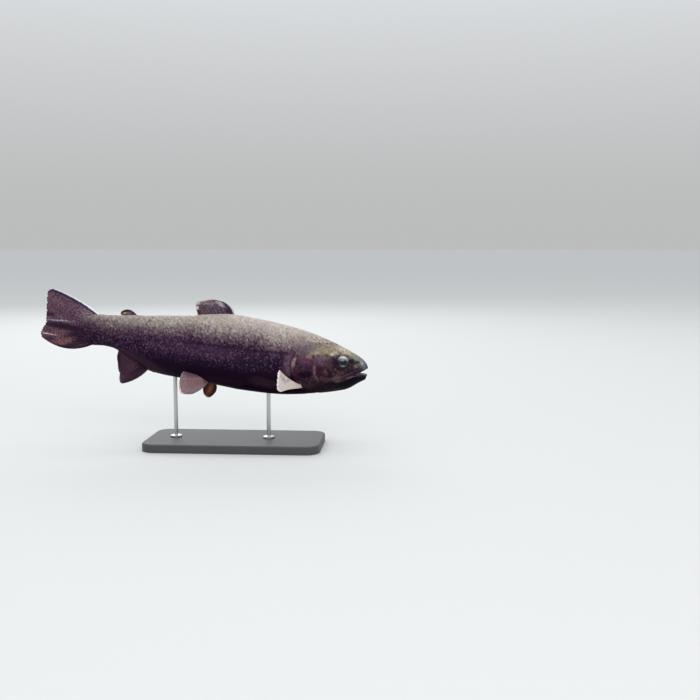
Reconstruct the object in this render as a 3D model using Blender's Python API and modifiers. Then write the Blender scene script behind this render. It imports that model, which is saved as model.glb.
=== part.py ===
"""Rainbow trout: a life-size still model of a swimming adult on a plain display stand.

The fish is first shaped lying straight, with its snout at the origin and pointing to +X, its left
side to +Y and its back to +Z. Places on it are given as (station, height): the station runs from
the snout, near 0, to the tips of the tail at 500, and the height is above the line from the snout to
the middle of the tail's root. The whole body is one round form, parted with thin cuts into head, jaws,
gill covers, trunk and tail stem. Then the fish is bent in a shallow swimming curve, tilted nose
down and set over the base, and the two rods let into its belly.
"""

import math

import bmesh
import bpy
from mathutils import Matrix, Vector

# Driving dimensions, in metres and degrees.
TOTAL_LENGTH = 0.500
SNOUT, BODY_END, TAIL_TIPS = -1.5, 433, 500  # stations
U = TOTAL_LENGTH / (TAIL_TIPS - SNOUT)  # the unit of the tables below, very nearly 1 mm
GAP = 0.0003  # clearance between neighbouring pieces
MERGE = 0.00003  # corners nearer than this become one
PITCH = 7.6  # how far the nose points down
HEIGHT = 0.142  # of the body's middle line above the floor, at the balance station
BALANCE = 198  # the station above the middle of the base

# Swimming curve: the heading of the middle line, in degrees, grows towards both ends.
HEAD_TURN, HEAD_TURN_END = -3.0, 145
TAIL_TURN, TAIL_TURN_START = -11.0, 225
LINE_END = 520  # the middle line is worked out this far, past the tail

# The body's form, at stations from snout to tail:
# (station, back, belly, half width, height of the widest line, squareness above, squareness below)
BODY = (
    (-1.5, 15.8, -14.2, 9.6, -1.0, 2.2, 2.0),
    (8, 15.9, -19.6, 11.6, -1.0, 2.2, 2.0),
    (24, 22.0, -29.4, 15.0, -0.5, 2.4, 1.9),
    (40, 28.5, -36.6, 17.8, -0.5, 2.45, 1.85),
    (60, 35.0, -43.1, 21.0, -2.0, 2.3, 1.95),
    (90, 43.0, -49.8, 25.2, -4.0, 2.1, 2.0),
    (128, 49.0, -55.0, 27.5, -4.0, 2.0, 2.1),
    (182, 53.1, -56.3, 28.6, -3.2, 2.0, 2.15),
    (206, 53.2, -55.0, 28.3, -3.0, 2.0, 2.15),
    (232, 49.6, -53.4, 27.3, -3.0, 2.0, 2.1),
    (260, 44.6, -52.3, 25.4, -3.0, 2.0, 2.1),
    (317, 36.8, -48.6, 19.4, -3.0, 2.0, 2.0),
    (338, 33.7, -39.6, 16.4, -2.0, 2.0, 2.0),
    (358, 31.1, -30.2, 13.6, -1.0, 2.0, 2.0),
    (376, 28.8, -23.0, 11.2, 0.0, 2.0, 2.0),
    (394, 26.6, -20.8, 9.2, 1.0, 2.0, 2.0),
    (409, 25.6, -22.2, 7.2, 1.0, 2.0, 2.0),
    (420, 24.2, -22.4, 5.0, 1.0, 2.0, 2.0),
    (433, 17.0, -15.6, 1.7, 1.0, 2.0, 2.0),
)
SNOUT_ROUND, CHIN_ROUND, NOSE_ROUND = 17, 2.5, 14  # how far back the tip is rounded off: top, bottom, sides
HEAD_RINGS, TRUNK_RINGS, HEAD_LENGTH = 24, 26, 110
SEGMENTS = 24
THINNEST = 0.5  # half width that an inset form keeps where the body is thinner than the inset
CLEAR_AHEAD, CLEAR_BEHIND, CLEAR_HEIGHT, CLEAR_SIDE = -60, 600, 70, 90  # places well clear of the fish

# Lines across the side view that part the body, as (station, height).
GILL_OPENING = ((76, CLEAR_HEIGHT), (81, 44), (87, 33), (94, 24.5), (102.5, 15), (107.3, 5.5), (109, -5),
                (107.3, -15.2), (102.5, -25), (95, -32.7), (85.5, -38.4), (70, -42.5), (57, -48),
                (50, -CLEAR_HEIGHT))
TRUNK_CUTS = (206, 324)
MOUTH_ROOF = ((-8, 2.2), (0, 1.2), (6, -1.0), (11, -4.0), (17.5, -8.1), (24, -12.2), (31, -16.6),
              (39, -21.2))
MOUTH_FLOOR = ((-8, -7.2), (0, -7.6), (5, -8.9), (10.5, -10.9), (17, -13.3), (24, -16.2), (31, -19.2),
               (39, -22.2))
JAW_HINGE = ((39, -21.7), (44, -26), (48, -33), (50, -42), (52, -60))

# Plates that lie on the head, as outlines in the side view.
GILL_COVER = ((80, 16.5), (91, 18), (98, 15.5), (103, 9), (106, 1.5), (106.6, -6), (105, -15),
              (100.6, -24), (93.3, -31.2), (84, -36), (70, -39), (59, -37), (66, -31), (71, -22),
              (74.4, -10), (76, 3))
GILL_COVER_DEPTH = 3.4
MAXILLA = ((7, 1.4), (13, 0.6), (20, -3.6), (28, -8.6), (37, -13.8), (44, -17.4), (47.5, -21), (44.5, -23.6),
           (40, -20.6), (31, -15.4), (20, -8.6), (11, -2.8))
MAXILLA_DEPTH = 2.2
PLATE_INNER_SIDE = 2  # how far from the middle a plate's outline is cut in

EYE_STATION, EYE_HEIGHT, EYE_RADIUS, EYE_THICKNESS, EYE_OUT = 36.3, 7.9, 9.4, 5.2, 14.0
EYE_TURN_FORWARD, EYE_TURN_UP = 9.0, 8.0

# Fins: "root" is the line their rays grow from and "tips" the line of the rays' ends, both from the
# first ray to the last. "bow" is how far the first and the last ray bulge towards the back, as a
# share of their length. Thickness is at the root and at the tips.
FINS = {
    "dorsal_fin": dict(
        root=((205.5, 49), (232, 45), (257, 41)),
        tips=((233, 69.8), (242, 69.9), (250, 68.6), (257, 66.2), (262.5, 63.6), (264.6, 59.5)),
        bow=(0.20, 0.02), thick=(4.4, 1.0), grid=(10, 6),
    ),
    "adipose_fin": dict(
        root=((346, 27), (357, 26), (369, 26)),
        tips=((361, 38.4), (366, 38.4), (370.5, 36.8), (374, 34), (375.2, 31)),
        bow=(0.10, 0.0), thick=(4.4, 1.8), grid=(7, 5),
    ),
    "anal_fin": dict(
        root=((321, -42), (346, -30), (372, -20)),
        tips=((361, -73.4), (365, -71.6), (367.4, -64), (369.8, -54), (372.2, -43), (373.6, -33)),
        bow=(-0.09, 0.0), thick=(4.2, 1.0), grid=(10, 6),
    ),
    "caudal_fin": dict(
        root=((402, 21), (418, 14), (426, 1), (422, -10), (406, -17)),
        tips=((485, 53), (494.4, 48), (495.6, 36), (495.2, 24), (493.4, 12), (492.8, 2), (496, -7),
              (500, -15), (498.6, -22.5)),
        bow=(0.055, -0.15), thick=(3.2, 1.0), grid=(15, 7),
    ),
}
# Paired fins are drawn as on the right side, upright beside the root's front end, then turned about
# it: "turn" is (flare of the lower edge, nose up, swing away from the flank) in degrees.
PAIRED_FINS = {
    "pectoral_fin": dict(
        root=((-3, 0), (-2.5, 2.5), (-2, 5)),
        tips=((43, -19.6), (50, -19.2), (54.4, -14.5), (56.3, -7.5), (56.8, -0.5), (56, 5.5), (54, 9.6)),
        bow=(-0.05, -0.06), thick=(3.6, 0.9), grid=(10, 6),
    ),
    "pelvic_fin": dict(
        root=((-1, 1), (2, 3), (6, 5)),
        tips=((21, -26), (29, -28), (35.6, -28), (39.8, -23), (42, -15), (42.4, -7), (41.4, 0), (39, 4.6)),
        bow=(-0.20, 0.0), thick=(3.6, 0.9), grid=(10, 6),
    ),
    "folded_pelvic_fin": dict(
        root=((-1, 0), (1, 2), (4, 4.5)),
        tips=((29, -18.4), (34, -18), (36.8, -15.5), (36.4, -11), (33.5, -6.5), (29, -2.5)),
        bow=(-0.12, 0.08), thick=(3.6, 1.0), grid=(10, 6),
    ),
}
FIN_PLACES = {
    # name: (kind, side, station, height, out from the middle, turn)
    "pectoral_fin_right": ("pectoral_fin", -1, 90, -38, 17, (25, 0, 55)),
    "pectoral_fin_left": ("pectoral_fin", 1, 90, -38, 17, (28, 3, 50)),
    "pelvic_fin_right": ("pelvic_fin", -1, 230, -49, 11, (25, 0, 28)),
    "pelvic_fin_left": ("folded_pelvic_fin", 1, 226, -50, 11, (34, 50, 0)),
}

# Stand, in metres.
BASE_LENGTH, BASE_WIDTH, BASE_THICKNESS = 0.260, 0.120, 0.012
BASE_CORNER, BASE_EDGE = 0.020, 0.0015
ROD_RADIUS, ROD_DEPTH = 0.003, 0.013
COLLAR_RADIUS, COLLAR_HEIGHT, COLLAR_RIM = 0.0085, 0.004, 0.0024
DRILL_LEAD = 0.02  # how far below the belly a socket's drill starts
ROD_STATIONS = (("stand_rod_front", 140), ("stand_rod_rear", 282))

# Colour, roughness and metallic value of each kind of piece, found by the start of a piece's name.
COLOURS = {
    "eye": ((0.060, 0.060, 0.065), 0.10, 0.0),
    "gill_cover": ((0.135, 0.075, 0.090), 0.40, 0.0),
    "upper_jaw": ((0.090, 0.070, 0.085), 0.42, 0.0),
    "lower_jaw": ((0.030, 0.028, 0.036), 0.42, 0.0),
    "pectoral": ((0.620, 0.560, 0.510), 0.50, 0.0),
    "pelvic": ((0.330, 0.240, 0.245), 0.50, 0.0),
    "dorsal": ((0.150, 0.115, 0.120), 0.50, 0.0),
    "adipose": ((0.200, 0.150, 0.130), 0.50, 0.0),
    "anal": ((0.085, 0.060, 0.070), 0.50, 0.0),
    "caudal": ((0.110, 0.080, 0.082), 0.50, 0.0),
    "stand_rod": ((0.550, 0.550, 0.560), 0.30, 1.0),
    "stand": ((0.060, 0.060, 0.062), 0.45, 0.0),
    "": ((0.115, 0.085, 0.095), 0.42, 0.0),
}


def blend_table(table, x, column):
    """A smooth curve through one column of a table whose first column grows, read at x."""
    last = len(table) - 1
    x = min(max(x, table[0][0]), table[last][0])
    i = next(k for k in range(last) if x <= table[k + 1][0])

    def slope(k):
        a, b = table[max(k - 1, 0)], table[min(k + 1, last)]
        return (b[column] - a[column]) / (b[0] - a[0])

    width = table[i + 1][0] - table[i][0]
    t = (x - table[i][0]) / width
    start, end = table[i][column], table[i + 1][column]
    return (
        (2 * t**3 - 3 * t**2 + 1) * start
        + (t**3 - 2 * t**2 + t) * width * slope(i)
        + (3 * t**2 - 2 * t**3) * end
        + (t**3 - t**2) * width * slope(i + 1)
    )


def curve_point(points, share):
    """A point of the smooth curve through points in the side view, at a share of the way along."""
    last = len(points) - 1
    i = min(int(share * last), last - 1)
    t = share * last - i
    p, a, b, q = (Vector(points[min(max(k, 0), last)]) for k in (i - 1, i, i + 1, i + 2))
    return 0.5 * (
        2 * a + (b - p) * t + (2 * p - 5 * a + 4 * b - q) * t**2 + (3 * a - 3 * b + q - p) * t**3
    )


def smooth_line(points, steps=2):
    """The same curve as a line, with this many steps from each point to the next."""
    count = steps * (len(points) - 1)
    return [curve_point(points, k / count) for k in range(count + 1)]


def rounding(x, length):
    return math.sqrt(1 - (1 - min((x - SNOUT) / length, 1)) ** 2)


def body_point(x, angle, inset=0.0):
    """A point of the straight fish's surface. The angle runs from the back, 0, over the left side.

    inset shrinks the form all round, for the inner face of a plate, and a negative one swells it.
    """
    back, belly, half, middle, above, below = (blend_table(BODY, x, c) for c in range(1, 7))
    up = max(back - middle - inset, THINNEST) * rounding(x, SNOUT_ROUND)
    down = max(middle - belly - inset, THINNEST) * rounding(x, CHIN_ROUND)
    out = max(half - inset, THINNEST) * rounding(x, NOSE_ROUND)
    squareness = above if math.cos(angle) > 0 else below
    across = math.copysign(abs(math.sin(angle)) ** (2 / squareness), math.sin(angle))
    along = math.copysign(abs(math.cos(angle)) ** (2 / squareness), math.cos(angle))
    station = x + inset * (1 - 2 * (x - SNOUT) / (BODY_END - SNOUT))
    return U * Vector((-station, out * across, middle + (up if along > 0 else down) * along))


def station_of_ring(ring):
    """Rings crowd towards the snout, are close in the head and wider apart along the trunk."""
    if ring <= HEAD_RINGS:
        return SNOUT + (HEAD_LENGTH - SNOUT) * (ring / HEAD_RINGS) ** 1.5
    return HEAD_LENGTH + (BODY_END - HEAD_LENGTH) * (ring - HEAD_RINGS) / TRUNK_RINGS


def material(piece, kind):
    """A material of the piece's own, in the colour of its kind."""
    made = bpy.data.materials.new(piece.name)
    made.use_nodes = True
    shader = made.node_tree.nodes["Principled BSDF"]
    colour, roughness, metallic = COLOURS[kind]
    shader.inputs["Base Color"].default_value = (*colour, 1)
    shader.inputs["Roughness"].default_value = roughness
    shader.inputs["Metallic"].default_value = metallic
    piece.data.materials.clear()
    piece.data.materials.append(made)


def add_object(name, mesh, collection):
    made = bpy.data.objects.new(name, mesh)
    collection.objects.link(made)
    return made


def mesh_of(name, bm):
    mesh = bpy.data.meshes.new(name)
    bm.normal_update()
    bmesh.ops.recalc_face_normals(bm, faces=bm.faces)
    bm.to_mesh(mesh)
    bm.free()
    return mesh


def whole_body(name, inset, cutters):
    """The whole body from a sphere whose rings become the fish's cross-sections."""
    bm = bmesh.new()
    rings = HEAD_RINGS + TRUNK_RINGS
    bmesh.ops.create_uvsphere(bm, u_segments=SEGMENTS, v_segments=rings, radius=1)
    for vert in bm.verts:
        ring = round(math.acos(max(-1, min(1, vert.co.z))) / math.pi * rings)
        x = station_of_ring(ring)
        if ring == rings:
            vert.co = U * Vector((-BODY_END - 0.5 + inset, 0, 0))
        else:
            vert.co = body_point(x, math.atan2(-vert.co.y, vert.co.x), inset)
    return add_object(name, mesh_of(name, bm), cutters)


def prism(name, outline, low, high, cutters):
    """An outline in the side view, made thick across the fish from low to high."""
    flat = bpy.data.curves.new(name, "CURVE")
    flat.dimensions, flat.fill_mode, flat.extrude = "2D", "BOTH", U * (high - low) / 2
    spline = flat.splines.new("POLY")
    spline.points.add(len(outline) - 1)
    for point, (station, height) in zip(spline.points, outline):
        point.co = (-U * station, U * height, 0, 1)
    spline.use_cyclic_u = True
    drawn = add_object(name + "_outline", flat, cutters)
    mesh = baked(drawn)
    bpy.data.objects.remove(drawn)
    middle = Matrix.Translation((0, U * (low + high) / 2, 0))
    mesh.transform(middle @ Matrix.Rotation(math.radians(90), 4, "X"))
    bm = bmesh.new()
    bm.from_mesh(mesh)
    bmesh.ops.remove_doubles(bm, verts=bm.verts, dist=1e-7)
    return add_object(name, mesh_of(name, bm), cutters)


def baked(source):
    """The mesh of an object with its modifiers, or of a curve."""
    graph = bpy.context.evaluated_depsgraph_get()
    return bpy.data.meshes.new_from_object(source.evaluated_get(graph), depsgraph=graph)


def cut(target, operation, other):
    """Applies a Boolean to an object."""
    modifier = target.modifiers.new(operation.title(), "BOOLEAN")
    modifier.operation, modifier.object, modifier.solver = operation, other, "EXACT"
    mesh = baked(target)
    target.modifiers.remove(modifier)
    target.data = mesh
    return target


def clean(piece):
    """Merges the hair-thin edges a Boolean leaves where a cut passes close to a corner."""
    bm = bmesh.new()
    bm.from_mesh(piece.data)
    bmesh.ops.remove_doubles(bm, verts=bm.verts, dist=MERGE)
    bmesh.ops.dissolve_degenerate(bm, edges=bm.edges, dist=MERGE)
    bm.to_mesh(piece.data)
    bm.free()


def copy_of(source, name, collection):
    return add_object(name, source.data.copy(), collection)


def shifted(line, by):
    """A cut's line moved along the fish."""
    return [Vector((p[0] + by, p[1])) for p in line]


def grown(outline, by):
    """A closed outline moved outwards by a distance, in the table's unit."""
    points = [Vector(p) for p in outline]
    area = sum(a.cross(b) for a, b in zip(points, points[1:] + points[:1]))
    turn = 1 if area > 0 else -1
    moved = []
    for before, here, after in zip(points[-1:] + points[:-1], points, points[1:] + points[:1]):
        tangent = ((here - before).normalized() + (after - here).normalized()).normalized()
        moved.append(here + turn * by * Vector((tangent.y, -tangent.x)))
    return moved


def part_body(fish, cutters):
    """Head, lower jaw, trunk lengths and tail stem, cut from the whole body with thin gaps."""
    body = whole_body("whole_body", 0, cutters)
    half_gap = GAP / U / 2
    gill = smooth_line(GILL_OPENING)
    roof, floor, hinge = smooth_line(MOUTH_ROOF), smooth_line(MOUTH_FLOOR), smooth_line(JAW_HINGE)

    below_chin = (CLEAR_AHEAD, -CLEAR_HEIGHT)
    front = [below_chin, (CLEAR_AHEAD, CLEAR_HEIGHT), *shifted(gill, -half_gap)]
    below_mouth = [*roof[:-1], *shifted(hinge, half_gap), below_chin, (CLEAR_AHEAD, roof[0].y)]
    jaw_region = [*floor[:-1], *shifted(hinge, -half_gap), below_chin, (CLEAR_AHEAD, floor[0].y)]
    head = copy_of(body, "head", fish)
    cut(head, "INTERSECT", through("head_region", front, cutters))
    cut(head, "DIFFERENCE", through("mouth_and_jaw", below_mouth, cutters))
    jaw = copy_of(body, "lower_jaw", fish)
    cut(jaw, "INTERSECT", through("jaw_region", jaw_region, cutters))

    first, second = TRUNK_CUTS
    lengths = (
        ("trunk_front", [*shifted(gill, half_gap), *upright(first - half_gap)]),
        ("trunk_rear", [*upright(second - half_gap), *upright(first + half_gap)[::-1]]),
        ("tail_stem", [*upright(CLEAR_BEHIND), *upright(second + half_gap)[::-1]]),
    )
    for name, outline in lengths:
        region = through(name + "_region", outline, cutters)
        cut(copy_of(body, name, fish), "INTERSECT", region)
    lay_plates(body, head, cutters, fish)


def upright(station):
    """A straight cut across the body, from below it to above it."""
    return [(station, -CLEAR_HEIGHT), (station, CLEAR_HEIGHT)]


def through(name, outline, cutters):
    """An outline in the side view, made thick right through the fish."""
    return prism(name, outline, -CLEAR_SIDE, CLEAR_SIDE, cutters)


def lay_plates(body, head, cutters, fish):
    """Gill covers and upper-jaw plates, each let into the head's side."""
    plates = (
        ("gill_cover", GILL_COVER, GILL_COVER_DEPTH),
        ("upper_jaw_plate", MAXILLA, MAXILLA_DEPTH),
    )
    gap = GAP / U
    for kind, corners, depth in plates:
        outline = smooth_line([*corners, corners[0]])[:-1]
        core = whole_body(kind + "_core", depth, cutters)
        deeper = whole_body(kind + "_deeper", depth + gap, cutters)
        for side_name, side in (("right", -1), ("left", 1)):
            low, high = sorted((side * PLATE_INNER_SIDE, side * CLEAR_SIDE))
            name = f"{kind}_{side_name}"
            pocket = prism(name + "_pocket", grown(outline, gap), low, high, cutters)
            cut(head, "DIFFERENCE", cut(pocket, "DIFFERENCE", deeper))
            plate = copy_of(body, name, fish)
            cut(plate, "INTERSECT", prism(name + "_region", outline, low, high, cutters))
            cut(plate, "DIFFERENCE", core)


def eyeball(name, side, swell, collection):
    """A flattened ball set in the side of the head, facing a little forwards and up."""
    bm = bmesh.new()
    bmesh.ops.create_uvsphere(bm, u_segments=18, v_segments=9, radius=1)
    round_size, thickness = EYE_RADIUS + swell, EYE_THICKNESS + swell
    place = (
        Matrix.Translation(U * Vector((-EYE_STATION, side * EYE_OUT, EYE_HEIGHT)))
        @ Matrix.Rotation(-side * math.radians(EYE_TURN_FORWARD), 4, "Z")
        @ Matrix.Rotation(side * math.radians(EYE_TURN_UP), 4, "X")
        @ Matrix.Rotation(math.radians(90), 4, "X")
        @ Matrix.Diagonal(U * Vector((round_size, round_size, thickness, 1 / U)))
    )
    bmesh.ops.transform(bm, matrix=place, verts=bm.verts)
    return add_object(name, mesh_of(name, bm), collection)


def set_eyes(head, fish, cutters):
    for side_name, side in (("right", -1), ("left", 1)):
        socket = eyeball(f"eye_socket_{side_name}", side, GAP / U, cutters)
        cut(head, "DIFFERENCE", socket)
        eyeball(f"eye_{side_name}", side, 0, fish)


def ray_point(fin, across, along):
    """A point of a fin, in (station, height), at a share of the way across its rays and along one."""
    start, end = (curve_point(fin[line], across) for line in ("root", "tips"))
    ray = end - start
    bow = fin["bow"][0] + (fin["bow"][1] - fin["bow"][0]) * across
    return start + ray * along + bow * 4 * along * (1 - along) * Vector((-ray.y, ray.x))


def fin_blade(name, fin, collection):
    """An open grid whose columns are the rays, thickened to a wedge that is thin at the tips."""
    bm = bmesh.new()
    rays, steps = fin["grid"]
    bmesh.ops.create_grid(bm, x_segments=rays, y_segments=steps, size=0.5)
    thin = []
    for vert in bm.verts:
        across, along = vert.co.x + 0.5, vert.co.y + 0.5
        station, height = ray_point(fin, across, along)
        vert.co = U * Vector((-station, 0, height))
        thin.append((1 - along) ** 1.5)
    made = add_object(name, mesh_of(name, bm), collection)
    group = made.vertex_groups.new(name="thickness")
    for i, share in enumerate(thin):
        group.add([i], share, "REPLACE")
    root, tip = fin["thick"]
    solidify = made.modifiers.new("Blade", "SOLIDIFY")
    solidify.thickness, solidify.offset = root * U, 0
    solidify.vertex_group, solidify.thickness_vertex_group = group.name, tip / root
    mesh = baked(made)
    made.modifiers.clear()
    made.data = mesh
    return made


def add_fins(fish, cutters):
    """Fins stand on the body: what would reach inside it, with the gap, is cut away."""
    swollen = whole_body("swollen_body", -GAP / U, cutters)
    for name, fin in FINS.items():
        cut(fin_blade(name, fin, fish), "DIFFERENCE", swollen)
    for name, (kind, side, station, height, out, turn) in FIN_PLACES.items():
        blade = fin_blade(name, PAIRED_FINS[kind], fish)
        flare, nose_up, spread = (math.radians(a) for a in turn)
        place = (
            Matrix.Translation(U * Vector((-station, side * out, height)))
            @ Matrix.Rotation(side * flare, 4, "X")
            @ Matrix.Rotation(-side * spread, 4, "Z")
            @ Matrix.Rotation(-nose_up, 4, "Y")
        )
        blade.data.transform(place)
        cut(blade, "DIFFERENCE", swollen)
        keep_largest(blade)


def keep_largest(blade):
    """Drops any scrap that the body's form cut off a blade."""
    bm = bmesh.new()
    bm.from_mesh(blade.data)
    bmesh.ops.remove_doubles(bm, verts=bm.verts, dist=1e-7)
    left = set(bm.verts)
    islands = []
    while left:
        island, edge = set(), [left.pop()]
        while edge:
            vert = edge.pop()
            island.add(vert)
            near = {e.other_vert(vert) for e in vert.link_edges} & left
            left -= near
            edge.extend(near)
        islands.append(island)
    scraps = set(bm.verts) - max(islands, key=len)
    bmesh.ops.delete(bm, geom=list(scraps), context="VERTS")
    bm.to_mesh(blade.data)
    bm.free()


def heading(station):
    """Which way the middle line points at a station, in radians, seen from above."""
    turn = 0.0
    if station < HEAD_TURN_END:
        turn = -HEAD_TURN * (1 - station / HEAD_TURN_END) ** 2
    elif station > TAIL_TURN_START:
        turn = TAIL_TURN * ((station - TAIL_TURN_START) / (TAIL_TIPS - TAIL_TURN_START)) ** 2
    return math.radians(turn)


def middle_line():
    """The bent middle line, a point for each whole station, starting and ending past the fish."""
    line = {0: Vector((0, 0))}
    for station in range(LINE_END):
        angle = heading(station + 0.5)
        line[station + 1] = line[station] + Vector((-math.cos(angle), -math.sin(angle)))
    shift = line[BALANCE].copy()
    return {station: point - shift for station, point in line.items()}


def bent(point, line):
    """Where a point of the straight fish goes in the swimming one. The balance station is at x 0."""
    station = -point.x / U
    whole = min(max(math.floor(station), 0), LINE_END - 1)
    angle = heading(station)
    start = line[whole] + (station - whole) * (line[whole + 1] - line[whole])
    across = point.y / U * Vector((-math.sin(angle), math.cos(angle)))
    place = U * (start + across)
    return Vector((place.x, place.y, point.z))


def swim(fish):
    """Bends every piece of the fish and hangs it, tilted, over the base."""
    line = middle_line()
    holder = bpy.data.objects.new("trout", None)
    fish.objects.link(holder)
    holder.location = (0, 0, HEIGHT)
    holder.rotation_euler = (0, math.radians(PITCH), 0)
    for piece in fish.objects:
        if piece.type != "MESH":
            continue
        clean(piece)
        for vert in piece.data.vertices:
            vert.co = bent(vert.co, line)
        piece.parent = holder
    bpy.context.view_layer.update()
    return holder, line


def stand_base(collection):
    """A flat board with round corners and a fine eased edge, its underside on the floor."""
    bm = bmesh.new()
    size = Matrix.Diagonal((BASE_LENGTH, BASE_WIDTH, BASE_THICKNESS, 1))
    bmesh.ops.create_cube(bm, size=1, matrix=Matrix.Translation((0, 0, BASE_THICKNESS / 2)) @ size)
    upright = [e for e in bm.edges if abs(e.verts[0].co.z - e.verts[1].co.z) > 1e-6]
    bmesh.ops.bevel(bm, geom=upright, offset=BASE_CORNER, segments=6, profile=0.5, affect="EDGES")
    top = [e for e in bm.edges if all(v.co.z > BASE_THICKNESS - 1e-6 for v in e.verts)]
    bmesh.ops.bevel(bm, geom=top, offset=BASE_EDGE, segments=1, profile=0.5, affect="EDGES")
    return add_object("stand_base", mesh_of("stand_base", bm), collection)


def turned_rod(name, top, collection):
    """A rod with a collar at its foot, turned from a profile about its own axis."""
    foot = BASE_THICKNESS + GAP
    profile = (
        (0, top),
        (ROD_RADIUS, top),
        (ROD_RADIUS, foot + COLLAR_HEIGHT),
        (COLLAR_RADIUS, foot + COLLAR_RIM),
        (COLLAR_RADIUS, foot),
        (0, foot),
    )
    bm = bmesh.new()
    verts = [bm.verts.new((x, 0, z)) for x, z in profile]
    for a, b in zip(verts, verts[1:]):
        bm.edges.new((a, b))
    mesh = bpy.data.meshes.new(name)
    bm.to_mesh(mesh)
    bm.free()
    rod = add_object(name, mesh, collection)
    screw = rod.modifiers.new("Turn", "SCREW")
    screw.steps = screw.render_steps = 16
    screw.use_merge_vertices, screw.merge_threshold = True, 0.00005
    mesh = baked(rod)
    rod.modifiers.clear()
    rod.data = mesh
    return rod


def add_stand(stand, cutters, fish, holder, line):
    """The base, and two rods whose tops are let into sockets drilled up into the belly."""
    stand_base(stand)
    belly_nodes = [fish.objects["trunk_front"], fish.objects["trunk_rear"]]
    for (name, station), node in zip(ROD_STATIONS, belly_nodes):
        belly = blend_table(BODY, station, 2)
        keel = holder.matrix_world @ bent(U * Vector((-station, 0, belly)), line)
        top = keel.z + ROD_DEPTH
        rod = turned_rod(name, top, stand)
        rod.location = (keel.x, keel.y, 0)
        bm = bmesh.new()
        drill_radius, drill_top, drill_foot = ROD_RADIUS + GAP, top + GAP, keel.z - DRILL_LEAD
        bmesh.ops.create_cone(
            bm, cap_ends=True, segments=16, radius1=drill_radius, radius2=drill_radius,
            depth=drill_top - drill_foot,
        )
        drill = add_object(name + "_socket", mesh_of(name + "_socket", bm), cutters)
        drill.location = (keel.x, keel.y, (drill_top + drill_foot) / 2)
        socket = node.modifiers.new("Socket", "BOOLEAN")
        socket.operation, socket.object, socket.solver = "DIFFERENCE", drill, "EXACT"


def finish(pieces):
    """Fish pieces get their origin in their own middle, and every piece its material and shading."""
    for piece in pieces:
        if piece.parent:
            middle = sum((Vector(corner) for corner in piece.bound_box), Vector()) / 8
            piece.data.transform(Matrix.Translation(-middle))
            piece.location = middle
        piece.data.shade_smooth()
        piece.data.set_sharp_from_angle(angle=math.radians(35))
        material(piece, next(kind for kind in COLOURS if piece.name.startswith(kind)))


def main():
    for old in list(bpy.data.objects):
        bpy.data.objects.remove(old)
    fish, stand, cutters = (
        bpy.data.collections.new(name) for name in ("rainbow_trout", "display_stand", "cutters")
    )
    for collection in (fish, stand, cutters):
        bpy.context.scene.collection.children.link(collection)
    part_body(fish, cutters)
    set_eyes(fish.objects["head"], fish, cutters)
    add_fins(fish, cutters)
    holder, line = swim(fish)
    add_stand(stand, cutters, fish, holder, line)
    finish([piece for piece in [*fish.objects, *stand.objects] if piece.type == "MESH"])
    for cutter in cutters.objects:
        cutter.hide_render, cutter.display_type = True, "WIRE"


main()
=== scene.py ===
"""Rainbow trout on a display stand: its skin, scales, fins, eyes and finishes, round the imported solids.

The fish is shaped lying straight, in the units of its tables, very nearly millimetres: a place on it is
(station, side, height), with the station counted from the snout to the tips of the tail at 500, the
side positive to the fish's left and the height from the line between snout and tail root. Then it is
bent into its swimming curve and tilted into its place over the stand.
"""

import math

import bmesh
import bpy
import numpy as np
from bpy.props import FloatProperty, FloatVectorProperty, IntProperty, PointerProperty
from mathutils import Euler, Matrix, Vector


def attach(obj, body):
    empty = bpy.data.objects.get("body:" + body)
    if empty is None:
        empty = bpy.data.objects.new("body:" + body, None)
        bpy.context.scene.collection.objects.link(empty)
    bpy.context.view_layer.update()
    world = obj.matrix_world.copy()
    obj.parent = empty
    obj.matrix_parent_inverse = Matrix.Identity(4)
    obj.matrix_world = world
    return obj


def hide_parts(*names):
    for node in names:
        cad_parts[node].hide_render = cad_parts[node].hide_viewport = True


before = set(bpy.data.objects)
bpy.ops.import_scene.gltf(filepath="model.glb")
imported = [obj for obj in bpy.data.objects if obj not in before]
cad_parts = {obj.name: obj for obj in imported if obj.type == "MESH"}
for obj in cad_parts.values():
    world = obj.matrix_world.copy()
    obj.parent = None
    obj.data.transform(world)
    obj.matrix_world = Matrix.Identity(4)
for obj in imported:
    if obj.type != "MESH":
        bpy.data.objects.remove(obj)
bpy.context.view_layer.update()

BODY = "root"

bl_info = {
    "name": "Rainbow Trout",
    "version": (1, 0, 0),
    "blender": (4, 5, 0),
    "location": "3D View > Sidebar > Trout",
    "description": "Builds the skin, scales, fins, eyes and stand of a life-size rainbow trout",
    "category": "Object",
}

# Form of the fish, as in its solids.
TOTAL_LENGTH = 0.500
SNOUT, BODY_END, TAIL_TIPS = -1.5, 433, 500  # stations
U = TOTAL_LENGTH / (TAIL_TIPS - SNOUT)  # the unit of the tables below, very nearly 1 mm
PER_METRE = 1000  # turns the settings' metres into that unit
PITCH = 7.6  # how far the nose points down, in degrees
HEIGHT = 0.142  # of the body's middle line above the floor, at the balance station
BALANCE = 198
HEAD_TURN, HEAD_TURN_END = -3.0, 145
TAIL_TURN, TAIL_TURN_START = -11.0, 225
LINE_END = 520

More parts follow.
